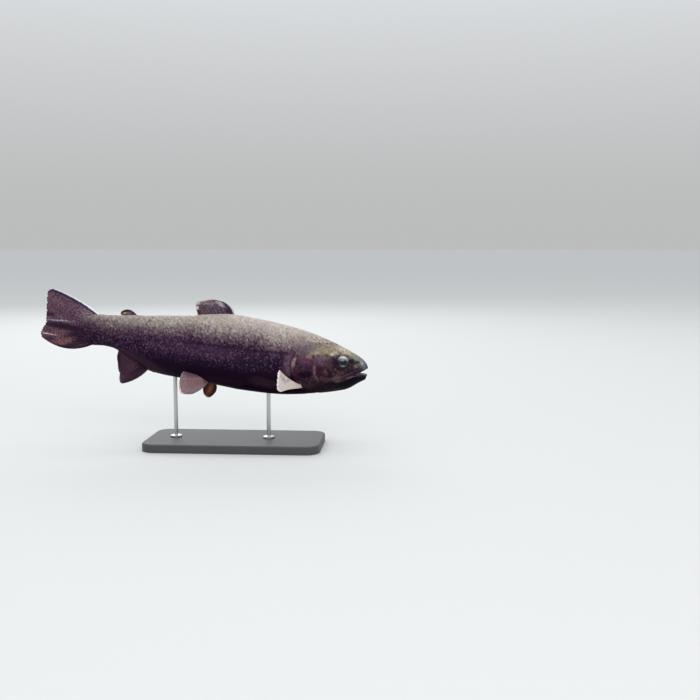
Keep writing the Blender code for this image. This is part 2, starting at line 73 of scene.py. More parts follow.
# (station, back, belly, half width, height of the widest line, squareness above, squareness below)
BODY_TABLE = np.array((
    (-1.5, 15.8, -14.2, 9.6, -1.0, 2.2, 2.0),
    (8, 15.9, -20.4, 11.6, -1.0, 2.2, 2.0),
    (24, 22.0, -32.2, 15.0, -0.5, 2.4, 1.9),
    (40, 28.5, -38.0, 17.8, -0.5, 2.45, 1.85),
    (60, 35.0, -43.1, 21.0, -2.0, 2.3, 1.95),
    (90, 43.0, -49.8, 25.2, -4.0, 2.1, 2.0),
    (128, 49.0, -55.0, 27.5, -4.0, 2.0, 2.1),
    (182, 53.1, -56.3, 28.6, -3.2, 2.0, 2.15),
    (206, 53.2, -55.0, 28.3, -3.0, 2.0, 2.15),
    (232, 49.6, -53.4, 27.3, -3.0, 2.0, 2.1),
    (260, 44.6, -52.3, 25.4, -3.0, 2.0, 2.1),
    (317, 36.8, -48.6, 19.4, -3.0, 2.0, 2.0),
    (338, 33.7, -39.6, 16.4, -2.0, 2.0, 2.0),
    (358, 31.1, -30.2, 13.6, -1.0, 2.0, 2.0),
    (376, 28.8, -23.0, 11.2, 0.0, 2.0, 2.0),
    (394, 26.6, -20.8, 9.2, 1.0, 2.0, 2.0),
    (409, 25.6, -22.2, 7.2, 1.0, 2.0, 2.0),
    (420, 24.2, -22.4, 5.0, 1.0, 2.0, 2.0),
    (433, 17.0, -15.6, 1.7, 1.0, 2.0, 2.0),
))
SNOUT_ROUND, CHIN_ROUND, NOSE_ROUND = 17, 2.5, 14
THINNEST = 0.5

# Lines and outlines of the head in the side view, as (station, height).
GILL_OPENING = ((76, 70), (81, 44), (87, 33), (94, 24.5), (102.5, 15), (107.3, 5.5), (109, -5),
                (107.3, -15.2), (102.5, -25), (95, -32.7), (85.5, -38.4), (70, -42.5), (57, -48), (50, -70))
GILL_REAR = 109
HEAD_RELIEF_END, HEAD_MASKS_END = 118, 125  # stations where the head's relief and painted lines end
MOUTH_ROOF = ((-8, 2.2), (0, 1.2), (4, -1.4), (10, -4.9), (15, -7.3), (20.5, -9.7), (26, -12.6), (31, -15.8),
              (37, -19.6))
MOUTH_FLOOR = ((-8, -6.6), (0, -6.9), (5, -7.5), (11.5, -8.8), (16, -9.8), (20.5, -11.1), (26, -13.7),
               (31, -16.6), (37, -20.2))
MOUTH_START, MOUTH_CORNER, THROAT = -8, 31.5, 58  # stations
MAXILLA = ((7, 1.4), (13, 0.6), (20, -3.6), (28, -8.6), (37, -13.8), (44, -17.4), (47.5, -21), (44.5, -23.6),
           (40, -20.6), (31, -15.4), (20, -8.6), (11, -2.8))
SUPRAMAXILLA = ((25, -8.6), (31, -12.6), (38, -16.6), (45, -20.4))
PREOPERCLE = ((78.5, 21), (76.5, 17), (74.4, 5.7), (73.6, -6), (71.6, -16), (67.1, -22.8), (60.6, -27.8),
              (52, -31))
SUBOPERCLE = ((74.5, -21), (84, -20.5), (93, -17), (100, -10.5), (105, -2))
INTEROPERCLE = ((57, -31.5), (66, -31), (75, -30.5), (84, -33))
CHEEK_BONES = (
    ((27, 3), (30, -2.5), (36, -5.5), (43, -5), (49, -0.5), (51.5, 7), (50, 14)),
    ((31, -2.8), (29.5, -7)),
    ((39.5, -5.6), (41, -13)),
    ((47.5, -2.4), (56, -11), (59, -18)),
    ((51.3, 4), (64, 3), (73, 5)),
    ((50, 13.5), (60, 16), (74, 17)),
)
BROW = ((12, 13.5), (20, 17.5), (30, 21), (40, 22.6), (52, 23.4), (66, 25))
HEAD_PORES = ((7, -16), (13.5, -21.4), (21, -26.6), (29, -30.8), (37, -33.8), (45.5, -35.5), (54, -35.5),
              (61.5, -31.6), (69, -26), (24.5, 0.5), (29, -5), (35, -8), (42, -7.5), (48.6, -3), (52.6, 3),
              (22, 21), (33, 25.2), (45, 27), (57, 28))
NOSTRILS = ((16.6, 11.4, 0.85, 1.3), (20.2, 12.6, 1.0, 1.5))  # station, height, radius, depth
LATERAL_LINE = ((100, 14), (112, 11), (135, 9.3), (160, 8.3), (205, 7.6), (260, 6.2), (320, 4.2), (380, 2.4),
                (432, 1.0))

EYE_STATION, EYE_HEIGHT, EYE_RADIUS, EYE_THICKNESS, EYE_OUT = 36.3, 7.9, 9.4, 5.2, 14.0
EYE_TURN_FORWARD, EYE_TURN_UP = 9.0, 8.0

# Fins: "root" is the line their rays grow from and "tips" the line of the rays' ends, both from the
# first ray to the last. "bow" is how far the first and the last ray bulge towards the back, as a
# share of their length. "thick" is at the root, of the web at the tips, and of the rays at the tips.
FINS = {
    "dorsal_fin": dict(
        root=((202, 49), (232, 45), (257, 41)),
        tips=((230, 70.9), (240, 71.4), (249, 70.2), (257, 67.6), (263.5, 65.2), (264, 60.5), (262.6, 54.5)),
        bow=(0.20, 0.02), thick=(4.6, 0.5, 1.0), rays=12, ragged=(0.7, 1.0), wave=0.9, sunk=4.5,
        notches=((0.9, 0.022, 4.0), (0.72, 0.02, 1.2)),
    ),
    "adipose_fin": dict(
        root=((346, 27), (357, 26), (369, 26)),
        tips=((361, 38.4), (366, 38.4), (370.5, 36.8), (374, 34), (375.2, 31)),
        bow=(0.10, 0.0), thick=(4.6, 1.7, 1.8), rays=9, ragged=(0.1, 0.2), wave=0.3, sunk=3.5, notches=(),
    ),
    "anal_fin": dict(
        root=((321, -42), (346, -30), (372, -20)),
        tips=((361, -73.4), (365, -71.6), (367.4, -64), (369.8, -54), (372.2, -43), (373.6, -33)),
        bow=(-0.09, 0.0), thick=(4.4, 0.5, 1.0), rays=12, ragged=(0.5, 1.4), wave=0.8, sunk=4.5,
        notches=((0.5, 0.02, 1.2),),
    ),
    "caudal_fin": dict(
        root=((402, 21), (418, 14), (426, 1), (422, -10), (406, -17)),
        tips=((485, 53), (494.4, 48), (495.6, 36), (495.2, 24), (493.4, 12), (492.8, 2), (496, -7),
              (500, -15), (498.6, -22.5)),
        bow=(0.055, -0.15), thick=(3.6, 0.5, 1.0), rays=19, ragged=(0.8, 1.2), wave=1.2, sunk=8.0,
        notches=((0.2, 0.012, 1.6), (0.3, 0.015, 1.8), (0.43, 0.012, 1.2), (0.62, 0.012, 1.4),
                 (0.84, 0.014, 1.6)),
    ),
}
PAIRED_FINS = {
    "pectoral_fin": dict(
        root=((-3, 1.4), (-2.5, 2.5), (-2, 3.6)),
        tips=((43, -19.6), (50, -19.2), (54.4, -14.5), (56.3, -7.5), (56.8, -0.5), (56, 5.5), (54, 9.6)),
        bow=(0.03, -0.06), thick=(3.0, 0.45, 0.95), rays=14, ragged=(0.5, 0.8), wave=0.8, sunk=2.5,
        notches=((0.3, 0.018, 1.8), (0.45, 0.018, 1.4), (0.6, 0.018, 2.2), (0.74, 0.018, 1.6),
                 (0.87, 0.015, 1.6)),
    ),
    "pelvic_fin": dict(
        root=((-1, 1), (2, 3), (6, 5)),
        tips=((21, -26), (29, -28), (35.6, -28), (39.8, -23), (42, -15), (42.4, -7), (41.4, 0), (39, 4.6)),
        bow=(-0.09, 0.0), thick=(3.8, 0.45, 0.95), rays=10, ragged=(0.4, 0.8), wave=0.8, sunk=2.5,
        notches=((0.55, 0.02, 1.0),),
    ),
    "folded_pelvic_fin": dict(
        root=((-1, 0), (1, 2), (4, 4.5)),
        tips=((29, -18.4), (34, -18), (36.8, -15.5), (36.4, -11), (33.5, -6.5), (29, -2.5)),
        bow=(-0.18, 0.14), thick=(3.8, 0.5, 1.0), rays=10, ragged=(0.4, 0.8), wave=0.6, sunk=2.5, notches=(),
    ),
}
FIN_PLACES = {
    # name: (kind, side, station, height, out from the middle, turn)
    "pectoral_fin_right": ("pectoral_fin", -1, 90, -38, 17, (25, 0, 55)),
    "pectoral_fin_left": ("pectoral_fin", 1, 90, -38, 17, (28, 3, 50)),
    "pelvic_fin_right": ("pelvic_fin", -1, 230, -49, 11, (25, 0, 28)),
    "pelvic_fin_left": ("folded_pelvic_fin", 1, 226, -50, 11, (34, 50, 0)),
}


# --- Curves and distances in the side view ---


def ease(low, high, x):
    """0 up to low, 1 from high on, and smooth between; low may be above high."""
    t = np.clip((np.asarray(x, float) - low) / (high - low), 0, 1)
    return t * t * (3 - 2 * t)


def hump(x, width):
    """1 at 0, falling to about a third at the width."""
    return np.exp(-((np.asarray(x, float) / width) ** 2))


def curve_points(points, share):
    """Places on the smooth curve through points, at shares of the way along."""
    points = np.array(points, float)
    last = len(points) - 1
    share = np.asarray(share, float) * last
    i = np.clip(np.floor(share).astype(int), 0, last - 1)
    t = (share - i)[..., None]
    p, a, b, q = (points[np.clip(i + k, 0, last)] for k in (-1, 0, 1, 2))
    return 0.5 * (2 * a + (b - p) * t + (2 * p - 5 * a + 4 * b - q) * t**2 + (3 * a - 3 * b + q - p) * t**3)


def smooth_line(points, steps=4):
    return curve_points(points, np.linspace(0, 1, steps * (len(points) - 1) + 1))


def smooth_outline(points, steps=4):
    return smooth_line((*points, points[0]), steps)


def from_line(where, line):
    """Distance from each place to a line, positive on its left as one looks along it, and the share
    of the way along it where the nearest point lies."""
    best = np.full(len(where), 1e9)
    share = np.zeros(len(where))
    for k, (a, b) in enumerate(zip(line, line[1:])):
        along = b - a
        t = np.clip((where - a) @ along / (along @ along), 0, 1)
        away = where - (a + t[:, None] * along)
        distance = np.hypot(away[:, 0], away[:, 1])
        left = along[0] * away[:, 1] - along[1] * away[:, 0]
        nearer = distance < np.abs(best)
        best = np.where(nearer, np.where(left < 0, -distance, distance), best)
        share = np.where(nearer, (k + t) / (len(line) - 1), share)
    return best, share


def from_outline(where, outline):
    """Distance from each place to a closed outline, positive inside it."""
    distance, _ = from_line(where, outline)
    inside = np.zeros(len(where), bool)
    for a, b in zip(outline, outline[1:]):
        spans = (a[1] > where[:, 1]) != (b[1] > where[:, 1])
        rise = np.where(b[1] == a[1], 1.0, b[1] - a[1])
        crosses = where[:, 0] < a[0] + (where[:, 1] - a[1]) * (b[0] - a[0]) / rise
        inside ^= spans & crosses
    return np.where(inside, np.abs(distance), -np.abs(distance))


CHIN_LINE = np.array(((2, -13), (20, -23), (40, -32), (52, -36)))
GILL_LINE = smooth_line(GILL_OPENING, 6)[::-1]
ROOF_LINE, FLOOR_LINE = smooth_line(MOUTH_ROOF), smooth_line(MOUTH_FLOOR)


def level_on(line, station):
    """A line's height at a station."""
    return np.interp(station, line[:, 0], line[:, 1])


def gill_station(height):
    """Where the gill opening's edge is, at a height."""
    return np.interp(height, GILL_LINE[:, 1], GILL_LINE[:, 0])


# --- The body's form ---


def along_body(x, column):
    """One column of the body table as a smooth curve, read at stations x."""
    at, value = BODY_TABLE[:, 0], BODY_TABLE[:, column]
    last = len(at) - 1
    before, after = np.r_[0, 0:last], np.r_[1 : last + 1, last]
    slope = (value[after] - value[before]) / (at[after] - at[before])
    x = np.clip(x, at[0], at[-1])
    i = np.clip(np.searchsorted(at, x) - 1, 0, last - 1)
    width = at[i + 1] - at[i]
    t = (x - at[i]) / width
    return (
        (2 * t**3 - 3 * t**2 + 1) * value[i]
        + (t**3 - 2 * t**2 + t) * width * slope[i]
        + (3 * t**2 - 2 * t**3) * value[i + 1]
        + (t**3 - t**2) * width * slope[i + 1]
    )


def rounding(x, length):
    return np.sqrt(1 - (1 - np.clip((x - SNOUT) / length, 0, 1)) ** 2)


def body_surface(x, angle, inset=0.0):
    """Places on the straight fish's plain form. The angle runs from the back, 0, over the left side."""
    back, belly, half, middle, above, below = (along_body(x, c) for c in range(1, 7))
    up = np.maximum(back - middle - inset, THINNEST) * rounding(x, SNOUT_ROUND)
    down = np.maximum(middle - belly - inset, THINNEST) * rounding(x, CHIN_ROUND)
    out = np.maximum(half - inset, THINNEST) * rounding(x, NOSE_ROUND)
    sine, cosine = np.sin(angle), np.cos(angle)
    power = 2 / np.where(cosine > 0, above, below)
    across = np.sign(sine) * np.abs(sine) ** power
    along = np.sign(cosine) * np.abs(cosine) ** power
    height = middle + np.where(along > 0, up, down) * along
    station = x + inset * (1 - 2 * (x - SNOUT) / (BODY_END - SNOUT))
    return np.stack(np.broadcast_arrays(station, out * across, height), -1)


def width_at(x, height):
    """Half the plain form's width at a station and a height."""
    back, belly, half, middle, above, below = (along_body(x, c) for c in range(1, 7))
    up, down = (back - middle) * rounding(x, SNOUT_ROUND), (middle - belly) * rounding(x, CHIN_ROUND)
    share = np.clip(np.abs(height - middle) / np.where(height > middle, up, down), 0, 1)
    power = np.where(height > middle, above, below)
    return half * rounding(x, NOSE_ROUND) * (1 - share**power) ** (1 / power)


def outward(x, angle, inset):
    """The plain form's outward direction."""
    step_x, step_angle = 0.3, 0.004
    ahead = np.maximum(x - step_x, SNOUT + 0.02)
    behind = np.minimum(ahead + 2 * step_x, BODY_END)
    rearward = body_surface(behind, angle, inset) - body_surface(ahead, angle, inset)
    round_it = body_surface(x, angle + step_angle, inset) - body_surface(x, angle - step_angle, inset)
    normal = np.cross(rearward, round_it)
    return normal / np.maximum(np.linalg.norm(normal, axis=-1, keepdims=True), 1e-9)


def gill_edge(angle):
    """The station at which each lengthwise line of the form crosses the gill opening's edge."""
    low, high = np.full_like(angle, 46.0), np.full_like(angle, 112.0)
    for _ in range(30):
        middle = (low + high) / 2
        ahead = middle < gill_station(body_surface(middle, angle)[..., 2])
        low, high = np.where(ahead, middle, low), np.where(ahead, high, middle)
    return (low + high) / 2


EDGE_ANGLES = np.linspace(0, math.tau, 721)
EDGE_STATIONS = gill_edge(EDGE_ANGLES)
EDGE_HEIGHTS = body_surface(EDGE_STATIONS, EDGE_ANGLES)[:, 2]


def gill_edge_at(angle):
    return np.interp(np.mod(angle, math.tau), EDGE_ANGLES, EDGE_STATIONS)


def gill_open(angle):
    """How far the gill cover stands open along its edge: not at all over the nape, less at the throat."""
    height = np.interp(np.mod(angle, math.tau), EDGE_ANGLES, EDGE_HEIGHTS)
    return ease(20, 13, height) * (1 - 0.65 * ease(-36, -44, height))


def between_ends(share, full, fading):
    """0 at both ends of a line, and 1 from one share of the way along it to another."""
    return ease(0, full, share) * ease(1, fading, share)


def plate_relief(where):
    """Raised plates and sutures on the side of the head."""
    jaw = from_outline(where, smooth_outline(MAXILLA))
    lift = 0.8 * ease(-0.15, 0.75, jaw) + 0.25 * ease(0.6, 2.4, jaw) - 0.4 * hump(jaw + 0.55, 0.45)
    suture, _ = from_line(where, smooth_line(SUPRAMAXILLA))
    lift -= 0.22 * hump(suture, 0.35) * ease(0.3, 1.2, jaw)
    edge, share = from_line(where, smooth_line(PREOPERCLE))
    step = 0.5 * ease(-7, -0.6, -edge) * ease(0.5, -0.15, -edge) - 0.45 * hump(edge + 0.55, 0.5)
    lift += step * between_ends(share, 0.12, 0.9)
    for line, depth in ((SUBOPERCLE, 0.28), (INTEROPERCLE, 0.3)):
        distance, share = from_line(where, smooth_line(line))
        seam = 0.5 * hump(distance - 1.2, 0.9) - hump(distance, 0.45)
        lift += depth * seam * between_ends(share, 0.1, 0.92)
    for line in CHEEK_BONES:
        distance, share = from_line(where, smooth_line(line))
        lift -= 0.16 * hump(distance, 0.5) * between_ends(share, 0.08, 0.85)
    return lift


def small_relief(where):
    """Nostrils, pores, brow and lips."""
    lift = np.zeros(len(where))
    for station, height, radius, depth in NOSTRILS:
        away = np.hypot(where[:, 0] - station, where[:, 1] - height)
        lift += 0.42 * hump(away - 1.5 * radius, 0.55) - depth * hump(away, radius)
    for station, height in HEAD_PORES:
        lift -= 0.4 * hump(np.hypot(where[:, 0] - station, where[:, 1] - height), 0.55)
    brow, share = from_line(where, smooth_line(BROW))
    lift += 0.45 * hump(brow, 2.2) * between_ends(share, 0.25, 0.6)
    roof, _ = from_line(where, ROOF_LINE)
    upper = ease(0.0, 0.9, roof) * hump(roof - 1.5, 1.3) * ease(19, 8, where[:, 0])
    floor, _ = from_line(where, FLOOR_LINE)
    lower = ease(0.0, 0.9, -floor) * hump(floor + 1.3, 1.3) * ease(MOUTH_CORNER + 1, 26, where[:, 0])
    lift += 0.5 * upper + 0.7 * lower
    groove = hump(roof, 0.5) * ease(-0.5, 0.4, roof) + hump(floor, 0.5) * ease(0.5, -0.4, floor)
    lift -= 0.5 * ease(MOUTH_CORNER, 27, where[:, 0]) * groove
    chin, _ = from_line(where, CHIN_LINE)
    return lift + 0.35 * hump(chin, 1.6) * ease(2, 10, where[:, 0]) * ease(50, 38, where[:, 0])


def throat_relief(x, angle, place):
    """Folds of the gill membrane, ray by ray, between the gill cover's lower edge and the keel."""
    rays = 9
    height = place[:, 2]
    top = np.interp(x, (40, 50, 60, 70, 84, 95), (-34, -35, -36.5, -39.5, -39.5, -38))
    keel = along_body(x, 2)
    share = np.clip((top - height) / np.maximum(top - keel, 1), 0, 1) ** 0.6
    fold = np.abs(np.sin(math.pi * rays * share))
    window = ease(44, 52, x) * ease(gill_edge_at(angle), gill_edge_at(angle) - 5, x)
    return window * ease(0.03, 0.12, share) * (0.5 * fold**0.7 - 0.28)


def gill_relief(x, angle):
    """The gill cover's raised rim and the cleft behind it, sloping up to the shoulder."""
    behind = x - gill_edge_at(angle)
    open_by = gill_open(angle)
    ahead = np.minimum(behind, 0)
    covered = behind <= 0.001
    rim = np.where(covered, 0.55 * np.exp(ahead / 5) - 0.18 * np.exp(ahead / 0.5), 0)
    cleft = np.where(covered, 0, -1.55 * hump(np.maximum(behind - 0.3, 0), 4.2))
    shoulder = 0.3 * hump(behind - 7.5, 2.2)
    return open_by * (rim + cleft + shoulder)


def fin_bases(place):
    """Flesh that rises to the fins' roots, and the vent."""
    x, side, height = place.T
    lift = np.zeros(len(x))
    spans = (("dorsal_fin", 1, 4.5, 1.3), ("anal_fin", -1, 4.0, 1.2), ("adipose_fin", 1, 3.2, 0.9))
    for name, sign, reach, rise in spans:
        first, last = FINS[name]["root"][0][0], FINS[name]["root"][-1][0]
        run = ease(first - 6, first + 8, x) * ease(last + 8, last - 4, x)
        lift += rise * run * ease(reach, 0.5, np.abs(side)) * (np.sign(height) == sign)
    for _, sign, station, level, out, _ in FIN_PLACES.values():
        away = np.sqrt((x - station - 2) ** 2 + (side - sign * out) ** 2 + (height - level) ** 2)
        lift += 0.9 * hump(away, 5.5)
    return lift + 0.8 * hump(np.hypot(x - 315, side), 2.2) * (height < 0)


def tail_root(place):
    """Shallow furrows between the rays' roots under the skin of the tail's root."""
    x, side, height = place.T
    fan = np.abs(np.sin((height - 1) * (1.25 - 0.0075 * (x - 400))))
    return 0.35 * (fan - 0.5) * ease(404, 422, x) * ease(0.2, 1.5, np.abs(side))


def relief(x, angle, place, normal):
    """How far the skin stands above the plain form."""
    lift = gill_relief(x, angle) + fin_bases(place) + tail_root(place)
    head = np.nonzero(x < HEAD_RELIEF_END)[0]
    if len(head):
        where = place[head][:, (0, 2)]
        sideways = np.abs(normal[head, 1])
        lift[head] += ease(0.12, 0.4, sideways) * plate_relief(where)
        lift[head] += ease(0.05, 0.25, sideways) * small_relief(where)
        lift[head] += throat_relief(x[head], angle[head], place[head])
    line = np.interp(place[:, 0], *np.array(LATERAL_LINE).T)
    return lift - 0.12 * hump(place[:, 2] - line, 0.7) * ease(104, 112, x)


def coat_inset(x, angle, depth):
    """The skin lies deeper where scales cover it."""
    return 0.05 + (depth - 0.05) * ease(1.5, 6, x - gill_edge_at(angle))


def skin_surface(x, angle, depth):
    """Places on the finished skin and its outward direction; depth is the coat's."""
    x, angle = (np.ravel(a).astype(float) for a in np.broadcast_arrays(x, angle))
    inset = coat_inset(x, angle, depth)
    place = body_surface(x, angle, inset)
    normal = outward(x, angle, inset)
    return place + normal * relief(x, angle, place, normal)[:, None], normal


# --- From the straight fish to the swimming one ---


def heading(station):
    """Which way the middle line points at a station, in radians, seen from above."""
    ahead = np.clip(1 - station / HEAD_TURN_END, 0, None)
    behind = np.clip((station - TAIL_TURN_START) / (TAIL_TIPS - TAIL_TURN_START), 0, None)
    return np.radians(-HEAD_TURN * ahead**2 + TAIL_TURN * behind**2)


def middle_line():
    """The bent middle line, a point for each whole station."""
    angle = heading(np.arange(LINE_END) + 0.5)
    steps = np.stack([-np.cos(angle), -np.sin(angle)], 1)
    line = np.vstack([np.zeros((1, 2)), np.cumsum(steps, 0)])
    return line - line[BALANCE]


MIDDLE_LINE = middle_line()


def swum(place):
    """Where places on the straight fish are on the swimming one, in metres."""
    station, side, height = np.asarray(place, float).T
    whole = np.clip(np.floor(station).astype(int), 0, LINE_END - 1)
    start = MIDDLE_LINE[whole] + (station - whole)[:, None] * (MIDDLE_LINE[whole + 1] - MIDDLE_LINE[whole])
    angle = heading(station)
    flat = U * (start + side[:, None] * np.stack([-np.sin(angle), np.cos(angle)], 1))
    tilt = math.radians(PITCH)
    level = U * height
    return np.stack([
        flat[:, 0] * math.cos(tilt) + level * math.sin(tilt),
        flat[:, 1],
        -flat[:, 0] * math.sin(tilt) + level * math.cos(tilt) + HEIGHT,
    ], 1)


# --- Meshes ---


def places_of(mesh):
    flat = np.zeros(len(mesh.vertices) * 3, np.float32)
    mesh.vertices.foreach_get("co", flat)
    return flat.reshape(-1, 3).astype(float)


def set_places(mesh, places):
    mesh.vertices.foreach_set("co", np.ascontiguousarray(places, np.float32).ravel())
    mesh.update()


def write_attribute(mesh, name, values):
    """Stores a number or a vector for each vertex."""
    values = np.asarray(values, np.float32)
    kind, field = ("FLOAT_VECTOR", "vector") if values.ndim == 2 else ("FLOAT", "value")
    layer = mesh.attributes.get(name) or mesh.attributes.new(name, kind, "POINT")
    layer.data.foreach_set(field, np.ascontiguousarray(values).ravel())


def corner_vertices(mesh):
    """The vertex at each corner of the faces."""
    corner = np.zeros(len(mesh.loops), np.int32)
    mesh.loops.foreach_get("vertex_index", corner)
    return corner


def face_numbers(mesh, field):
    numbers = np.zeros(len(mesh.polygons), np.int32)
    mesh.polygons.foreach_get(field, numbers)
    return numbers


def write_unwrap(mesh, corners):
    """Stores the mesh's own unwrap, a place for each corner of the faces."""
    layer = mesh.uv_layers.new(name="OFBake")
    layer.data.foreach_set("uv", np.ascontiguousarray(corners, np.float32).ravel())
    mesh.uv_layers.active = layer


def triangles_of(mesh):
    mesh.calc_loop_triangles()
    return np.array([triangle.vertices[:] for triangle in mesh.loop_triangles])


def swim(piece, lie):
    """Moves a piece from the straight fish to the swimming one; its materials still read where it lay."""
    write_attribute(piece.data, "lie", lie)
    set_places(piece.data, swum(lie))


def start(add, name, **settings):
    """Adds a primitive with nothing else selected, and names it."""
    bpy.ops.object.select_all(action="DESELECT")
    add(**settings)
    made = bpy.context.object
    made.name = made.data.name = name
    return made


def apply(piece, kind, **settings):
    """Adds a modifier to a piece and applies it."""
    bpy.ops.object.select_all(action="DESELECT")
    piece.select_set(True)
    bpy.context.view_layer.objects.active = piece
    modifier = piece.modifiers.new(kind.title(), kind)
    for key, value in settings.items():
        setattr(modifier, key, value)
    bpy.ops.object.modifier_apply(modifier=modifier.name)


def face_outwards(piece):
    bm = bmesh.new()
    bm.from_mesh(piece.data)
    bm.normal_update()
    bmesh.ops.recalc_face_normals(bm, faces=bm.faces)
    bm.to_mesh(piece.data)
    bm.free()


def settle(piece, slot, *nodes, material=None, smooth=None):
    """Finishes a piece: its material, shading and body, and hides the nodes it stands for; the slot is not
    used.
    """
    if material:
        face_outwards(piece)
        piece.data.materials.append(material)
    piece.data.shade_smooth()
    if smooth:
        piece.data.set_sharp_from_angle(angle=math.radians(smooth))
    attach(piece, BODY)
    if nodes:
        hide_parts(*nodes)


def mesh_from(name, places, faces):
    """An object from arrays of places and of faces that all have the same number of corners."""
    mesh = bpy.data.meshes.new(name)
    corners = faces.shape[1]
    mesh.vertices.add(len(places))
    mesh.loops.add(faces.size)
    mesh.polygons.add(len(faces))
    mesh.loops.foreach_set("vertex_index", np.ascontiguousarray(faces, np.int32).ravel())
    mesh.polygons.foreach_set("loop_start", np.arange(0, faces.size, corners, dtype=np.int32))
    set_places(mesh, places)
    mesh.update(calc_edges=True)
    mesh.validate()
    made = bpy.data.objects.new(name, mesh)
    bpy.context.scene.collection.objects.link(made)
    return made


# --- Skin ---

SKIN_SEGMENTS = 256
HEAD_RINGS, TRUNK_RINGS = 212, 118
HEAD_CROWDING, TRUNK_CROWDING = 1.2, 1.25
WARP_START, WARP_END = 46, 178  # rings bend to follow the gill opening between these stations
CLEFT_STEPS = (-0.5, 0.15, 0.8)  # the first rings behind the gill cover's edge tuck in under it
LEAST_STEP = 0.3  # between the rings behind those


def ring_stations(ring, angle):
    """The station of a vertex on a ring, so that one ring runs along the gill cover's edge."""
    edge = gill_edge_at(angle)
    share = np.clip(ring / HEAD_RINGS, 0, 1)
    x = SNOUT + (GILL_REAR - SNOUT) * share**HEAD_CROWDING
    bent = WARP_START + (x - WARP_START) * (edge - WARP_START) / (GILL_REAR - WARP_START)
    x = np.where(x > WARP_START, bent, x)
    share = np.clip((ring - HEAD_RINGS) / TRUNK_RINGS, 0, 1)
    behind = GILL_REAR + (BODY_END - GILL_REAR) * share**TRUNK_CROWDING
    moved = edge + (behind - GILL_REAR) * (WARP_END - edge) / (WARP_END - GILL_REAR)
    return np.where(ring > HEAD_RINGS, np.where(behind < WARP_END, moved, behind), x)


def eye_axes(side):
    """The eye's middle, and its forward, upward and outward directions, as (station, side, height)."""
    turn = Matrix.Rotation(-side * math.radians(EYE_TURN_FORWARD), 3, "Z") @ Matrix.Rotation(
        side * math.radians(EYE_TURN_UP), 3, "X"
    )
    flip = np.array((-1, 1, 1))
    axes = np.array([turn @ Vector(v) for v in ((1, 0, 0), (0, 0, 1), (0, side, 0))]) * flip
    return np.array((EYE_STATION, side * EYE_OUT, EYE_HEIGHT)), axes


RIM_START, RIM_END, SOCKET_END = 8.75, 9.5, 14.5  # distances from the middle of the eye
RIM_LIFT, RIM_FOLD, SOCKET_DEPTH = 0.42, 0.30, 1.6


def open_eye_sockets(place):
    """Sinks the skin behind each eyeball and gives it a narrow fleshy rim round it."""
    for side in (-1, 1):
        ahead_or_behind = np.abs(place[:, 0] - EYE_STATION)
        near = np.nonzero((ahead_or_behind < SOCKET_END + 2.5) & (place[:, 1] * side > 0))[0]
        middle, (ahead, up, out) = eye_axes(side)
        away = place[near] - middle
        a, b, w = away @ ahead, away @ up, away @ out
        radius = np.hypot(a, b)
        ball = EYE_THICKNESS * np.sqrt(1 - np.clip(radius / EYE_RADIUS, 0, 0.999) ** 2)
        rim = EYE_THICKNESS * math.sqrt(1 - (RIM_START / EYE_RADIUS) ** 2) + RIM_LIFT
        share = np.clip((radius - RIM_START) / (RIM_END - RIM_START), 0, 1)
        folded = rim + RIM_FOLD * np.sin(share * math.pi)
        folded = folded - 0.35 * hump(radius - 10.9, 0.6) + 0.15 * hump(radius - 12.2, 0.6)
        outside = folded + (w - folded) * ease(RIM_END + 0.6, SOCKET_END, radius)
        behind_ball = ball - SOCKET_DEPTH
        inside = behind_ball + (rim - behind_ball) * ease(RIM_START - 0.5, RIM_START, radius)
        new = np.where(radius < RIM_START, inside, outside)
        new = np.where((radius < SOCKET_END) & (w > -4), new, w)
        place[near] += (new - w)[:, None] * out
    return place


def skin_shell(depth):
    """The whole skin, straight, from a sphere whose rings become cross-sections of the fish."""
    tucks = len(CLEFT_STEPS)
    rings = HEAD_RINGS + tucks + TRUNK_RINGS
    skin = start(
        bpy.ops.mesh.primitive_uv_sphere_add, "trout_skin", radius=1,
        segments=SKIN_SEGMENTS, ring_count=rings,
    )
    ball = places_of(skin.data)
    ring = np.rint(np.arccos(np.clip(ball[:, 2], -1, 1)) / math.pi * rings)
    angle = np.arctan2(-ball[:, 1], ball[:, 0])
    angle = np.rint(np.mod(angle, math.tau) / math.tau * SKIN_SEGMENTS) * math.tau / SKIN_SEGMENTS
    behind = ring - HEAD_RINGS
    tucked = (behind >= 1) & (behind <= tucks)
    plain = np.where(behind > tucks, ring - tucks, np.minimum(ring, HEAD_RINGS))
    x = ring_stations(plain, angle)
    steps = np.array((0, *CLEFT_STEPS))[np.clip(behind, 0, tucks).astype(int)]
    edge = gill_edge_at(angle)
    x = np.where(tucked, edge + np.maximum(steps, 0.02), x)
    least = edge + CLEFT_STEPS[-1] + LEAST_STEP * (behind - tucks)
    x = np.where(behind > tucks, np.maximum(x, least), x)
    place, _ = skin_surface(x, angle, depth)
    place[:, 0] += np.where(tucked & (steps < 0), steps, 0) * gill_open(angle)
    place = open_eye_sockets(place)
    place[ring == rings] = (BODY_END + 0.4, 0, 0)
    place[ring == 0] = place[ring == 1].mean(0) - (0.02, 0, 0)
    set_places(skin.data, place)
    return skin


MOUTH_ROWS, MOUTH_COLUMNS = 60, 49
CHEEK_WALL = 2.6  # thickness of the flesh beside the hollow of the mouth
PALATE_RISE, FLOOR_SINK = 4.2, 3.4  # how far the hollow bulges beyond the lips' lines
GAP_REACH = 30  # to either side, past the widest part of the lips


